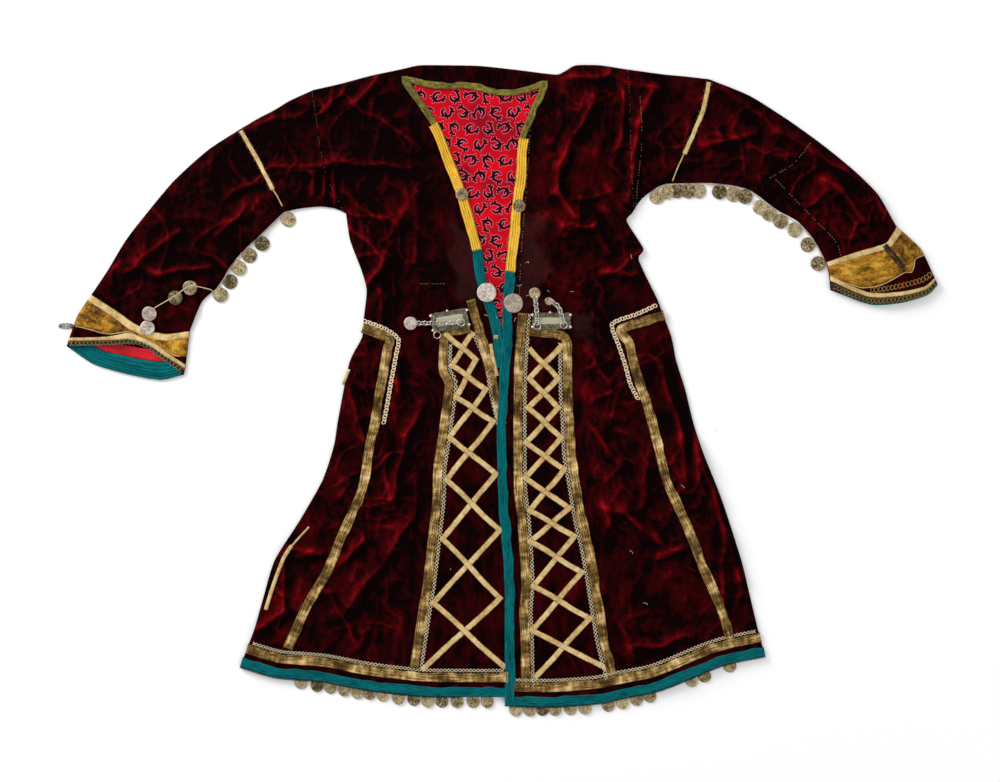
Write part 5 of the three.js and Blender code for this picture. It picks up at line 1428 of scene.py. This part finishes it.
# where the left cuff is tucked under, a dark strip of brocade is laid on: painted shade, for the fold that turns away
# from the light
tucked_brocade = narrow_ware(
    "tucked_brocade",
    [(0.25, (0.008, 0.003, 0.002)), (0.55, (0.03, 0.012, 0.003)), (0.9, (0.22, 0.10, 0.010))],
    [(12, 4, 1.2), (4, 2.5, 0.6), (1.2, 1.2, 0.4)],
)
tuck_line = [(576, 208), (583, 199), (592, 188), (604, 176)]
tuck_rows = [(-5, 0.3), (-3.5, 1.9), (0, 1.3), (3.5, 1.9), (5, 0.3)]
tuck = ribbon(tuck_line, tuck_rows, uneven=1.2, seed=4)
add_trim("cuff_left_tuck", tucked_brocade, "brocade", [tuck])
WAVE_MIDDLE = [(0, 34), (0.25, 35), (0.5, 31), (0.72, 25)]
couched_wave = couched_scrolls(sleeve_sides["cuff_left"], WAVE_MIDDLE, 3.6, 12, 2, 0.74, 0.4)
add_trim("cuff_left_gold_wave", gold_thread, "galloon", couched_wave)

# Inside of the right cuff: a teal facing quilted in rows along its edge, and red satin lining above it.
# Both are sewn to the back of the cuff, and show where its front edge stands back.
FACING_WIDE = 33
LINING_SHOWS = (33.4, 48)
INSIDE_THICK = 1.0
red_satin = narrow_ware(
    "red_satin",
    [(0.2, (0.2, 0.0, 0.004)), (0.5, (0.5, 0.001, 0.010)), (0.8, (0.72, 0.01, 0.03))],
    [(30, 12, 0.9), (8, 6, 0.5)],
    roughness=0.4,
    ribs=2.0,
    rib_depth=0.1,
)
right_back = (sleeve_sides["cuff_right"][0], joined(CUFF_BACK_RIGHT), *sleeve_sides["cuff_right"][2:])
# shares across the cuff, distances from its edge, rows, quilted ridges and their height
for name, shares, (near, far), rows, ridges, tall, material, slot, node in [
    ("cuff_facing_quilted", (0.03, 0.97), (0.3, FACING_WIDE), 51, 5, 1.5, teal_silk, "teal_binding",
     "cuff_right_facing"),
    ("cuff_lining_satin", (0.2, 0.8), LINING_SHOWS, 12, 1, 0.2, red_satin, "lining", "cuff_right_lining"),
]:
    s = np.linspace(*shares, 60)
    d = np.linspace(far, near, rows)[:, None]
    places = place_at(right_back, np.broadcast_to(s, (rows, 60)), 1 - d / cuff_lengths(right_back, s))
    x, y = places[..., 0], places[..., 1]
    waves = np.abs(np.sin(math.pi * ridges * (d - near) / (far - near))) ** 0.5
    top = wavy(x, y, LINING_LOW + LINING_THICK - 0.2, 0.4, 95) + tall * waves
    marks = s * 165 + 0 * x, d + 0 * x
    parts = [np.stack([x, y, z, *marks], axis=-1).reshape(-1, 5) for z in (top, top - INSIDE_THICK)]
    piece = add_trim(name, material, slot, [(np.vstack(parts), [sheet_faces(*x.shape)])], [node])
    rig.sheet(piece, held="laid", rests_on="velvet_cuff_right", **cut_of(places))

# Silver threads: a fine zigzag braid on the inner side of each long galloon, and a chain braid
# beside the side galloons. Both are wire-wound thread, couched down flat.
CHAIN_BRAID_RIGHT = [(-202, 94), (-171, 82), (-152, 67), (-156, 40), (-163, 3), (-169, -32), (-174, -57)]
CHAIN_BRAID_LEFT = [(232, 117), (206, 105), (168, 90), (178, 57), (187, 30), (195, 0), (206, -21)]
LINK_LONG = 3.1


def metal(name, dark, light, struck, grain=1400.0):
    """Old metal: dark where dirt holds, lighter where it is rubbed; struck metal is light on its relief."""
    material, tree, shader = new_material(name, 0.35, metallic=0.9)
    place = add_node(tree, "ShaderNodeTexCoord").outputs["Object"]
    dirt = noise_of(tree, place, grain / 6, detail=4.0, roughness=0.7)
    raised = Sum(tree, add_node(tree, "ShaderNodeAttribute", attribute_name="across").outputs["Fac"])
    total = Sum(tree, dirt) + raised * (0.35 if struck else 0.0)
    shade = ramp(tree, total.socket, [(0.32, dark), (0.82 if struck else 0.68, light)])
    tree.links.new(shade, shader.inputs["Base Color"])
    rough = add_node(tree, "ShaderNodeMapRange", {"Value": dirt, "To Min": 0.28, "To Max": 0.6})
    tree.links.new(rough.outputs["Result"], shader.inputs["Roughness"])
    fine = noise_of(tree, place, grain, detail=3.0)
    tree.links.new(bump(tree, fine, 0.4, 0.0003), shader.inputs["Normal"])
    return material


silver_wire = narrow_ware(
    "silver_wire",
    [(0.2, (0.34, 0.22, 0.1)), (0.45, (0.78, 0.62, 0.38)), (0.75, (0.95, 0.86, 0.66))],
    [(2.2, 2, 0.7), (14, 3, 0.6)],
    roughness=0.6,
    metallic=0.0,
    ribs=0.8,
    rib_depth=0.1,
)


def zigzag_braid(line, beside, wide, pitch=11.0, wire_thick=0.55):
    """Two wires that cross from side to side beside a line."""
    line, along = evenly(curve_through(line), pitch / 2)
    normal = to_its_left(line)
    parts = []
    for phase in (1, -1):
        swing = phase * np.where(np.arange(len(line)) % 2, 1, -1) * wide / 2
        here = line + normal * (beside + swing)[:, None]
        height = top_of(here[:, 0], here[:, 1]) + 0.9 + 0.3 * (phase > 0)
        parts.append(wire(np.column_stack([here, height]), wire_thick, 4))
    return parts


def braid_ground(name, line, beside, wide):
    """The dark tape that a zigzag of wire is worked on."""
    line = evenly(curve_through(line), 6)[0]
    line = line + to_its_left(line) * beside
    profile = [(-wide / 2, 0.05), (-wide / 2 + 0.3, 0.45), (wide / 2 - 0.3, 0.45), (wide / 2, 0.05)]
    add_trim(name, dark_braid, "scroll_braid", [ribbon(line, profile, uneven=0.5)])


def chain_braid(line, pitch=4.4, wide=5.4):
    """Flat links, each lying over the next."""
    line, along = evenly(curve_through(line), pitch)
    beside = to_its_left(line)
    turn = np.arange(10) / 10 * 2 * math.pi
    parts = []
    for k, (middle, out) in enumerate(zip(line, beside)):
        way = np.array([out[1], -out[0]])
        tilt = 0.5 if k % 2 else -0.2
        flat = middle + np.outer(np.cos(turn) * LINK_LONG, way)
        flat = flat + np.outer(np.sin(turn + tilt) * wide / 2, out)
        height = top_of(flat[:, 0], flat[:, 1]) + 1.0 + 0.5 * np.cos(turn)
        parts.append(wire(np.column_stack([flat, height]), 0.62, 5, closed=True))
    return parts


for side, line in [("right", CHAIN_BRAID_RIGHT), ("left", CHAIN_BRAID_LEFT)]:
    add_trim(f"chain_braid_{side}_silver", silver_wire, "silver", chain_braid(line), [f"chain_braid_{side}"])
BRAID_OUT = GALLOON_WIDE / 2 + 2.6
HEM_BRAID_UP = HEM_TEAL_WIDE + HEM_BARE_WIDE + GALLOON_WIDE + 2.8
for name, line, beside in [
    ("inner_right", [(-40, 76), (-22, 34), (-14, -12), (-3, -60)], 0),
    ("outer_right", GALLOON_OUTER_RIGHT[2:], BRAID_OUT),
    ("inner_left", GALLOON_INNER_LEFT, BRAID_OUT),
    ("outer_left", GALLOON_OUTER_LEFT[2:], -BRAID_OUT),
]:
    braid_ground(f"zigzag_ground_{name}", line, beside, 6.2)
    add_trim(f"zigzag_braid_{name}", silver_wire, "silver", zigzag_braid(line, beside, 5.2))
for side in ("right", "left"):
    line = along_skirt(side, HEM_BRAID_UP, 0.02, 0.98)
    braid_ground(f"hem_zigzag_ground_{side}", line, 0, 5.4)
    add_trim(f"hem_zigzag_{side}", silver_wire, "silver", zigzag_braid(line, 0, 4.6, wire_thick=0.52))

# Plaques: silver boxes with a raised twisted rim, filigree between two rims, a pale window,
# and a knob at each corner. Two eyes on each hold the rings.
PLATE_LOW = 6.8
PLATE_TOP = 8.6
RING_HEIGHT = 10.9
RING_RADIUS = 5.2
EYE_RADIUS = 2.2
SLAB_SIDES = 40
SLAB_SQUARE = 0.22
old_silver = metal("old_silver", (0.016, 0.013, 0.008), (0.34, 0.3, 0.22), False)
bright_silver = metal("bright_silver", (0.17, 0.15, 0.12), (0.95, 0.9, 0.78), False)
pale_silver = metal("pale_silver", (0.36, 0.28, 0.22), (0.92, 0.83, 0.72), True, grain=900.0)


def cloudy(name, roughness, grain, detail, stops):
    """A smooth stone or glass, clouded in two colours."""
    material, tree, shader = new_material(name, roughness)
    tree.links.new(ramp(tree, noise_of(tree, None, grain, detail=detail), stops), shader.inputs["Base Color"])
    return material


window_glass = cloudy("pale_window", 0.22, 190.0, 4.0, [(0.3, (0.24, 0.22, 0.14)), (0.7, (0.52, 0.49, 0.36))])
pearl = cloudy("pink_bead", 0.25, 300.0, 2.0, [(0.35, (0.62, 0.46, 0.4)), (0.65, (0.92, 0.85, 0.78))])


def rounded_slab(long, high, low, top, corner, dome=0.0):
    """A plate with rounded corners and edges, its top a little domed."""
    turn = np.arange(SLAB_SIDES) / SLAB_SIDES * 2 * math.pi
    ox, oy = (np.sign(wave) * np.abs(wave) ** SLAB_SQUARE for wave in (np.cos(turn), np.sin(turn)))
    rows = [
        (0.0, low), (1.0, low), (1.0, top - corner), (1 - corner * 0.3 / high, top - corner * 0.3),
        (1 - corner / high, top), (0.6, top + dome * 0.7), (0.2, top + dome), (0.0, top + dome),
    ]
    level_ring = 0 * ox
    points = [
        np.column_stack([ox * long / 2 * k, oy * high / 2 * k, level_ring + z, level_ring, level_ring])
        for k, z in rows
    ]
    return np.vstack(points), [quads(wrapped(len(rows), SLAB_SIDES), inward=True)]


def ball(x, y, z, radius, rings=8, parts=12):
    """A round knob."""
    fall = np.linspace(0, math.pi, rings + 1)[:, None]
    turn = (np.arange(parts) / parts * 2 * math.pi)[None]
    points = np.stack([x + radius * np.sin(fall) * np.cos(turn), y + radius * np.sin(fall) * np.sin(turn),
                       z + radius * np.cos(fall) + 0 * turn], axis=-1).reshape(-1, 3)
    return np.hstack([points, np.zeros((len(points), 2))]), [quads(wrapped(rings + 1, parts))]


def ring(centre, radius, thick, facing=(0, 0, 1), parts=24, sides=8):
    """A round wire ring whose face looks along one way."""
    facing = np.array(facing, dtype=float)
    first = np.cross(facing, (0, 0, 1) if abs(facing[2]) < 0.9 else (1, 0, 0))
    first /= np.linalg.norm(first)
    second = np.cross(facing, first)
    turn = np.arange(parts) / parts * 2 * math.pi
    path = np.array(centre) + radius * (np.outer(np.cos(turn), first) + np.outer(np.sin(turn), second))
    return wire(path, thick, sides, closed=True, facing=facing)


def twisted_frame(long, high, z, thick):
    """A twisted wire round a rectangle: its radius swells and shrinks along it."""
    corners = np.array([(-long, -high), (long, -high), (long, high), (-long, high), (-long, -high)]) / 2
    path = evenly(corners, 0.55)[0][:-1]
    swell = thick * (1 + 0.28 * np.cos(np.arange(len(path)) * math.pi / 1.5))
    return wire(np.column_stack([path, 0 * path[:, 0] + z]), swell, 6, closed=True)


def turned_to(parts, x, y, turn):
    """Meshes made about the middle, turned and set in their place."""
    done = []
    for points, faces in parts:
        points = points.copy()
        px, py = points[:, 0].copy(), points[:, 1].copy()
        points[:, 0] = x + px * math.cos(turn) - py * math.sin(turn)
        points[:, 1] = y + px * math.sin(turn) + py * math.cos(turn)
        done.append((points, faces))
    return done


# x, y, long, high, turn, and for each eye: x, y, and the way its ring lies from it
PLAQUES = {
    "right": (-75, 95.5, 55, 28, 0.16, [(-52.8, 92, (-1, 0)), (-94, 78.5, (0, -1))]),
    "left": (77, 94.5, 57, 24, 0, [(55.5, 81.5, (0, 1)), (95.4, 83, (0, 1))]),
}
for side, (x, y, long, high, turn, eyes) in PLAQUES.items():
    # the box, its twisted frames, and a row of small rings in each border
    plate = [rounded_slab(long - 1, high - 1, PLATE_LOW, PLATE_TOP, 0.8)]
    plate += [twisted_frame(long - 1.2, high - 1.2, PLATE_TOP + 0.1, 0.75),
              twisted_frame(long - 3.6, high - 3.6, PLATE_TOP + 0.1, 0.5),
              twisted_frame(long - 13, high - 12.4, PLATE_TOP + 0.2, 0.6)]
    small = [((k - 6) * (long - 10) / 13, up * (high - 8.2) / 2, 1.35) for k in range(13) for up in (1, -1)]
    small += [
        (out * (long - 8.4) / 2, (k - 1) * (high - 14) / 2.6, 1.5) for k in range(3) for out in (1, -1)
    ]
    plate += [ring((cx, cy, PLATE_TOP + 0.25), radius, 0.36, parts=14, sides=5) for cx, cy, radius in small]
    plate = turned_to(plate, x, y, turn)
    for ex, ey, (dx, dy) in eyes:
        plate.append(ring((ex, ey, RING_HEIGHT), EYE_RADIUS, 0.7, facing=(-dy, dx, 0), parts=18))
    add_trim(f"plaque_{side}_silver", old_silver, "silver", plate, [f"plaque_{side}"])
    glass = rounded_slab(long - 14, high - 13.4, PLATE_TOP - 0.5, PLATE_TOP + 0.25, 0.5, 0.5)
    add_trim(f"plaque_{side}_window", window_glass, "silver", turned_to([glass], x, y, turn))
    knobs = [ball(sx * long / 2, sy * (high - 6) / 2, PLATE_LOW + 2, 2.0) for sx in (-1, 1) for sy in (-1, 1)]
    knobs.append(ball(-2, high / 2 + 0.6, PLATE_LOW + 1.8, 1.7))
    add_trim(f"plaque_{side}_knobs", pearl, "silver", turned_to(knobs, x, y, turn))

# Coins: struck metal with a beaded rim and a worn rosette, all of them plain ornament.
# They hang on thread through a small loop, in strings under the sleeves and along the hem.
COIN_THICK = 1.5
SLEEVE_COIN = 11
HEM_COIN = 9.6
bronze_coin = metal("bronze_coin", (0.08, 0.052, 0.02), (0.74, 0.6, 0.36), True, grain=900.0)
thread_cotton = narrow_ware(
    "thread_cotton",
    [(0.25, (0.34, 0.2, 0.09)), (0.5, (0.66, 0.5, 0.3)), (0.8, (0.84, 0.74, 0.55))],
    [(2, 2, 0.7), (12, 3, 0.6)],
    roughness=0.9,
    ribs=1.4,
)


# the rings of a coin's face from its middle to its rim, as shares of its radius, and how its edge falls
COIN_SHARES = [0, 0.12, 0.22, 0.34, 0.45, 0.56, 0.64, 0.7, 0.76, 0.83, 0.89, 0.94, 0.98, 1.0]
COIN_EDGE_DROP = [0.0] * 12 + [0.1, 0.35]
COIN_SIDES = 48


def coin(x, y, radius, low, seed, lean=0.035):
    """A struck coin: a beaded rim, a ring, and petals round its middle, turned and worn by chance."""
    chance = np.random.default_rng(seed)
    petals, turned, worn = int(chance.integers(5, 9)), chance.random() * 6, 0.55 + 0.45 * chance.random()
    tip_way, tip = chance.random() * 2 * math.pi, lean * (0.3 + 0.7 * chance.random())
    paler = chance.uniform(-0.1, 0.7)
    turn = (np.arange(COIN_SIDES) / COIN_SIDES * 2 * math.pi)[None]
    share = np.array(COIN_SHARES)[:, None]
    swirl = turn + turned + 0.5 * share
    struck = 0.3 * np.clip(np.cos(petals * swirl), -0.2, 1) * np.exp(-(((share - 0.42) / 0.19) ** 2))
    struck += 0.26 * np.exp(-((share / 0.13) ** 2)) + 0.2 * np.exp(-(((share - 0.7) / 0.035) ** 2))
    struck += 0.24 * (0.6 + 0.4 * np.cos(24 * turn)) * np.exp(-(((share - 0.86) / 0.05) ** 2))
    struck = struck * worn
    wobble = 1 + 0.012 * np.cos(3 * turn + turned)
    px, py = radius * share * wobble * np.cos(turn), radius * share * wobble * np.sin(turn)
    top = COIN_THICK - 0.25 + struck - np.array(COIN_EDGE_DROP)[:, None]
    # the face, then the lower rim, the underside's edge and its middle
    rows_x, rows_y = (np.vstack([face, face[-1:], face[-1:] * 0.97, face[:1]]) for face in (px, py))
    level_ring = 0 * top[-1:]
    rows_z = np.vstack([top, level_ring + 0.3, level_ring + 0.05, level_ring + 0.05])
    shade = np.vstack([struck * 3.0 - 0.45 + paler, level_ring, level_ring, level_ring])
    rise = tip * (rows_x * math.cos(tip_way) + rows_y * math.sin(tip_way) + radius)
    points = np.stack([x + rows_x, y + rows_y, low + rows_z + rise, 0 * rows_x, shade], axis=-1)
    return points.reshape(-1, 5), [quads(wrapped(*rows_x.shape))]


for name, x, y, radius, high, metal_of in [
    ("breast_coin_right", -57, 284, 9.4, 1.6, bronze_coin),
    ("breast_coin_left", 29, 267, 9.4, 1.6, bronze_coin),
    ("waist_coin_right", -20, 137, 14.4, 1.8, pale_silver),
    ("waist_coin_left", 20, 121, 14.4, 1.8, pale_silver),
]:
    low = float(top_of(x, y)) + high
    struck = add_trim(
        name.replace("coin", "struck_coin"), metal_of, "silver" if "waist" in name else "coin",
        [coin(x, y, radius, low, len(name) + int(radius))], [name],
    )
    out = radius - 1.6
    add_trim(name.replace("coin", "coin_loop"), thread_cotton, "cream_tape",
             [ring((x, y + out, low + 0.9), 1.5, 0.4, facing=(1, 0, 0.2), parts=12, sides=5)])


def from_fold(line, place):
    """How far a place lies out from a sleeve's under fold, and the way to any distance from it."""
    best = None
    for a, b in zip(np.array(line, dtype=float), np.array(line[1:], dtype=float)):
        along = b - a
        near = a + along * np.clip((np.array(place) - a) @ along / (along @ along), 0, 1)
        away = np.linalg.norm(np.array(place) - near)
        if best is None or away < best[0]:
            best = (away, near, along)
    out = np.array([best[2][1], -best[2][0]]) / np.linalg.norm(best[2])
    out = -out if out[1] > 0 else out
    return (np.array(place) - best[1]) @ out, lambda distance: best[1] + out * distance


COINS_ARM_RIGHT = [(-317, 245), (-358, 212), (-377, 194), (-394, 176), (-407, 155), (-428, 143)]
COINS_WRIST_RIGHT = [(-464, 144), (-486, 129), (-525, 105), (-528, 84)]
COINS_ARM_LEFT = [
    (235, 281), (250, 288), (266, 289.5), (282, 289.5), (298, 289.5), (329, 288), (350, 284), (368, 281),
    (391, 266), (404, 256), (421, 244), (443, 232), (464, 210), (482, 183),
]
COINS_HEM_RIGHT = [
    (-298, -448), (-274, -452), (-254, -455), (-233, -459), (-213, -463), (-195, -464), (-175, -467),
    (-152, -471), (-129, -473), (-108, -476), (-87, -476), (-64, -478), (-40, -478), (-19, -478),
]
COINS_HEM_LEFT = [
    (24, -489), (45, -489), (64, -488), (83, -488), (106, -487), (128, -486), (163, -482), (184, -478),
    (205, -473), (225, -468), (288, -445), (307, -438), (345, -423),
]
SEAT = SLEEVE_COIN + 0.6
THREAD_OUT = 1.5
UNDER_FOLDS = {
    "right": ([*ARM_UNDER_RIGHT, *FOREARM_UNDER_RIGHT[1:]], COINS_ARM_RIGHT),
    "left": ([*ARM_UNDER_LEFT, *FOREARM_UNDER_LEFT[1:]], COINS_ARM_LEFT),
}
for side, (fold, places) in UNDER_FOLDS.items():
    coins, thread = [], []
    for k, place_of in enumerate(places):
        reach, at = from_fold(fold, place_of)
        x, y = at(min(max(reach, SEAT), SEAT + 1))
        coins.append(coin(x, y, SLEEVE_COIN, 0.1 + 0.9 * (k % 2), 40 + k + len(side), lean=0.03))
        hx, hy = at(THREAD_OUT)
        thread.append((hx, hy, 2.2))
        loop_at = (hx + (x - hx) * 0.2, hy + (y - hy) * 0.2, 1.7)
        coins.append(ring(loop_at, 1.7, 0.4, facing=(0.9, 0.5, 0), parts=12, sides=5))
    if side == "right":
        reach, at = from_fold(fold, (-432, 138))
        hx, hy = at(2)
        thread += [(hx, hy, 3.5)]
    string = [wire(evenly(curve_through(thread), 2.0)[0], 0.6, 5)]
    if side == "right":
        climb = [(hx, hy, 3.5), (hx - 3, hy + 5, 8.5)]
        climb += [(x, y + 3, float(top_of(x, y + 3)) + 2.6) for x, y in COINS_WRIST_RIGHT]
        string.append(wire(evenly(curve_through(climb), 2.0)[0], 0.75, 6))
        for k, (x, y) in enumerate(COINS_WRIST_RIGHT[:2]):
            coins.append(coin(x, y, SLEEVE_COIN, float(top_of(x, y)) + 1.0, 70 + k, lean=0.05))
        bright = [coin(x, y, SLEEVE_COIN, float(top_of(x, y)) + 1.4, 80 + k, lean=0.05)
                  for k, (x, y) in enumerate(COINS_WRIST_RIGHT[2:])]
        add_trim("wrist_coins_silver", pale_silver, "coin", bright)
    add_trim(f"arm_coins_{side}_struck", bronze_coin, "coin", coins, [f"arm_coins_{side}"])
    add_trim(f"arm_thread_{side}", thread_cotton, "cream_tape", string)

for side, hem, places in [("right", HEM_RIGHT, COINS_HEM_RIGHT), ("left", HEM_LEFT, COINS_HEM_LEFT)]:
    hem_x, hem_y = np.array(hem, dtype=float).T
    coins = []
    for k, (x, y) in enumerate(places):
        thread_y = float(np.interp(x, hem_x, hem_y)) + 1
        y = max(y, thread_y - 0.85 * HEM_COIN)
        coins.append(coin(x, y, HEM_COIN, 0.1 + 0.7 * (k % 2), 120 + k + len(side), lean=0.03))
        coins.append(ring((x, thread_y - 1.5, 1.8), 1.5, 0.38, facing=(1, 0.2, 0), parts=12, sides=5))
    add_trim(f"hem_coins_{side}_struck", bronze_coin, "coin", coins, [f"hem_coins_{side}"])

# Pendants: each swings in an eye of a plaque on a ring, with a curb chain and a coin at its end,
# but for one bare ring.
PENDANT_COIN_LOW = 6.7
# for each: its eye, the way it hangs, its chain, its coin's place and radius, and the coin's metal
PENDANT_CHAINS = {
    "right_coin": (
        (-52.8, 92), (-1, 0), [(-63, 92, 10.6), (-104, 91, 10.6), (-116, 91, 7.8), (-126, 91, 7.0)],
        (-134, 91, 9.9), pale_silver,
    ),
    "right_ring": ((-94, 78.5), (0, -1), [], None, pale_silver),
    "left_coin": (
        (55.5, 81.5), (0, 1), [(55.5, 91.8, 10.6), (55, 108, 10.6), (54, 118, 7.8), (53, 128, 7.0)],
        (52, 136, 8.5), bronze_coin,
    ),
    "left_chain": (
        (95.4, 83), (0, 1), [(94, 93, 10.6), (91, 107, 10.6), (87, 116, 7.8), (78, 123, 7.0)],
        (73, 124, 6), bronze_coin,
    ),
}


CURB_LONG = 3.7


def curb_chain(rows, pitch=4.8, wide=3.4, thick=0.8):
    """Oval links, each turned a quarter from the one before."""
    line, along = evenly(curve_through(rows), pitch)
    way = np.gradient(line, axis=0)
    way /= np.linalg.norm(way, axis=1, keepdims=True)
    turn = np.arange(12) / 12 * 2 * math.pi
    parts = []
    for k, (middle, ahead) in enumerate(zip(line, way)):
        side = np.cross((0, 0, 1), ahead)
        side /= np.linalg.norm(side)
        up = np.cross(ahead, side)
        roll = 0.8 if k % 2 else -0.5
        out = side * math.cos(roll) + up * math.sin(roll)
        path = middle + np.outer(np.cos(turn) * CURB_LONG, ahead) + np.outer(np.sin(turn) * wide, out)
        parts.append(wire(path, thick, 6, closed=True, facing=np.cross(ahead, out)))
    return parts


for name, ((ex, ey), (dx, dy), rows, end, metal_of) in PENDANT_CHAINS.items():
    parts = [ring((ex + dx * RING_RADIUS, ey + dy * RING_RADIUS, RING_HEIGHT), RING_RADIUS, 0.75, parts=32)]
    if rows:
        parts += curb_chain(rows)
    body = f"pendant_{name}"
    add_trim(f"{body}_silver", bright_silver, "silver", parts, [body], body=body)
    if end:
        add_trim(f"{body}_disc", metal_of, "coin", [coin(*end, PENDANT_COIN_LOW, 200 + len(name))], body=body)

# Openwork tab: a small net of silver rings between two wires, sewn to the fold of the right cuff.
# It shows beyond the cuff and lies on the table.
TAB_X, TAB_Y = -651.2, 87
tab_parts = [
    ring((TAB_X + k * 4.2, TAB_Y + up * 2.1 * (1 - 0.22 * abs(k)), 1.0), 2.1, 0.42, parts=12, sides=5)
    for k in range(-2, 3) for up in (-1, 1)
]
tab_parts += [
    wire([(TAB_X + out, TAB_Y + up * off, 0.9) for out, off in [(-10, 1), (0, 4.3), (10.6, 1.6)]], 0.5, 5)
    for up in (-1, 1)
]
add_trim("cuff_tab_openwork", old_silver, "silver", tab_parts, ["cuff_tab_right"])

# Stitching and loose ends: running stitches of pale thread at the armholes and seams, cream tape ends
# that show at the skirt's right side and beside the front edge, and broken threads where trim was lost.


def stitches(line, gap, long, thick=0.3, aside=0.0, seed=5, skipped=0.2):
    """A row of small stitches, some of them gone."""
    chance = np.random.default_rng(seed)
    line = evenly(curve_through(line), gap)[0]
    beside = to_its_left(line)
    parts = []
    for here, out in zip(line, beside):
        if chance.random() < skipped:
            continue
        way = np.array([out[1], -out[0]]) + out * chance.normal(0, 0.2)
        ends = np.array([
            here + out * (aside + chance.normal(0, 0.25)) + way * long * part for part in (-0.5, 0, 0.5)
        ])
        height = top_of(ends[:, 0], ends[:, 1]) + np.array([0.1, thick + 0.25, 0.1])
        parts.append(wire(np.column_stack([ends, height]), thick, 4))
    return parts


seam_thread = narrow_ware(
    "seam_thread",
    [(0.25, (0.12, 0.04, 0.02)), (0.5, (0.34, 0.2, 0.1)), (0.8, (0.6, 0.44, 0.26))],
    [(2, 2, 0.7), (12, 3, 0.6)],
)
seam_rows = stitches(ARMHOLE_LEFT, 3.6, 1.2, 0.26, 2.5, 11, 0.45)
seam_rows += stitches(ARMHOLE_RIGHT, 3.4, 1.2, 0.25, -2, 12, 0.5)
for line, seed in [
    ([(464, 360), (440, 330), (405, 309)], 13), ([(414, 305), (450, 268), (483, 234)], 14),
    ([(486, 232), (505, 210), (512, 185)], 15), ([(45, 380), (40, 300), (32, 200), (28, 110)], 16),
    ([(210, 430), (212, 360), (206, 300), (203, 262)], 17), ([(-118, 150), (-84, 150)], 18),
]:
    seam_rows += stitches(line, 4.2, 2.2, 0.32, 0, seed, 0.25)
for line in (TAPE_LINE_LEFT, TAPE_LINE_RIGHT):
    for aside in (-4.6, 4.6):
        seam_rows += stitches(line[:-1], 3.0, 1.2, 0.25, aside, 19, 0.4)
add_trim("seam_stitches", seam_thread, "cream_tape", seam_rows)


def flat_end(half, tall):
    """The section of a bare tape end."""
    return [(-half, 0), (0.4 - half, tall), (half - 0.4, tall), (half, 0)]


side_ends = [
    ribbon([(-286, -214), (-300, -229), (-316, -247)], flat_end(1.4, 0.7)),
    ribbon([(-312, -242), (-323, -259), (-333, -283), (-343, -312), (-351, -338)], flat_end(2.8, 0.9)),
    ribbon([(-235, -1), (-230, 12), (-226, 22)], flat_end(2, 0.8)),
]
add_trim("skirt_side_tape", cream_cotton, "cream_tape", side_ends)
front_end = ribbon([(-14, 60), (-10, 36), (-4, 12)], flat_end(2.6, 0.9), lift=0.8)
add_trim("edge_strip", cream_cotton, "cream_tape", [front_end])
KNOT_X, KNOT_Y = -6, 70.5
knot_z = float(top_of(KNOT_X, KNOT_Y)) + 2.2
knot = [(KNOT_X + 2.6 * math.sin(2 * a), KNOT_Y + 2.4 * math.cos(3 * a), knot_z + 0.7 * math.sin(5 * a))
        for a in np.linspace(0, 6.2, 60)]
chance = np.random.default_rng(77)
threads = []
# threads lie at the front edges, at the waist, and anywhere on the coat by turns: x, width, y, height
THREAD_ZONES = [(-8, 60, 60, 130), (-60, 200, 80, 60), (-330, 660, -350, 640)]
for k in range(26):
    places = [
        (zx + wide * chance.random(), zy + high * chance.random()) for zx, wide, zy, high in THREAD_ZONES
    ]
    x, y = places[k % 3]
    if abs(x) > 210 and y > 60:
        continue
    bend, turn = chance.normal(0, 0.7), chance.random() * 6.3
    steps = np.linspace(0, 3 + 5 * chance.random(), 5)
    threads.append(laid_thread([(x + t * math.cos(turn + bend * t / 6), y + t * math.sin(turn + bend * t / 6))
                                for t in steps], 0.28, 0.9))
add_trim("loose_threads", thread_cotton, "cream_tape", [*threads, wire(knot, 0.5, 5)])
# the hem's sewing: a fine dark looped edge that the coins hang from
for side, hem in [("right", HEM_RIGHT[:-1]), ("left", HEM_LEFT)]:
    loops = zigzag_braid(np.array(hem) - (0, 0.6), 0, 1.8, pitch=3.4, wire_thick=0.4)
    add_trim(f"hem_loops_{side}", dark_braid, "scroll_braid", loops)

low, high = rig.bounds()
with open("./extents.json", "w") as out:
    json.dump([[list(cad_low), list(cad_high)], [list(low), list(high)]], out)
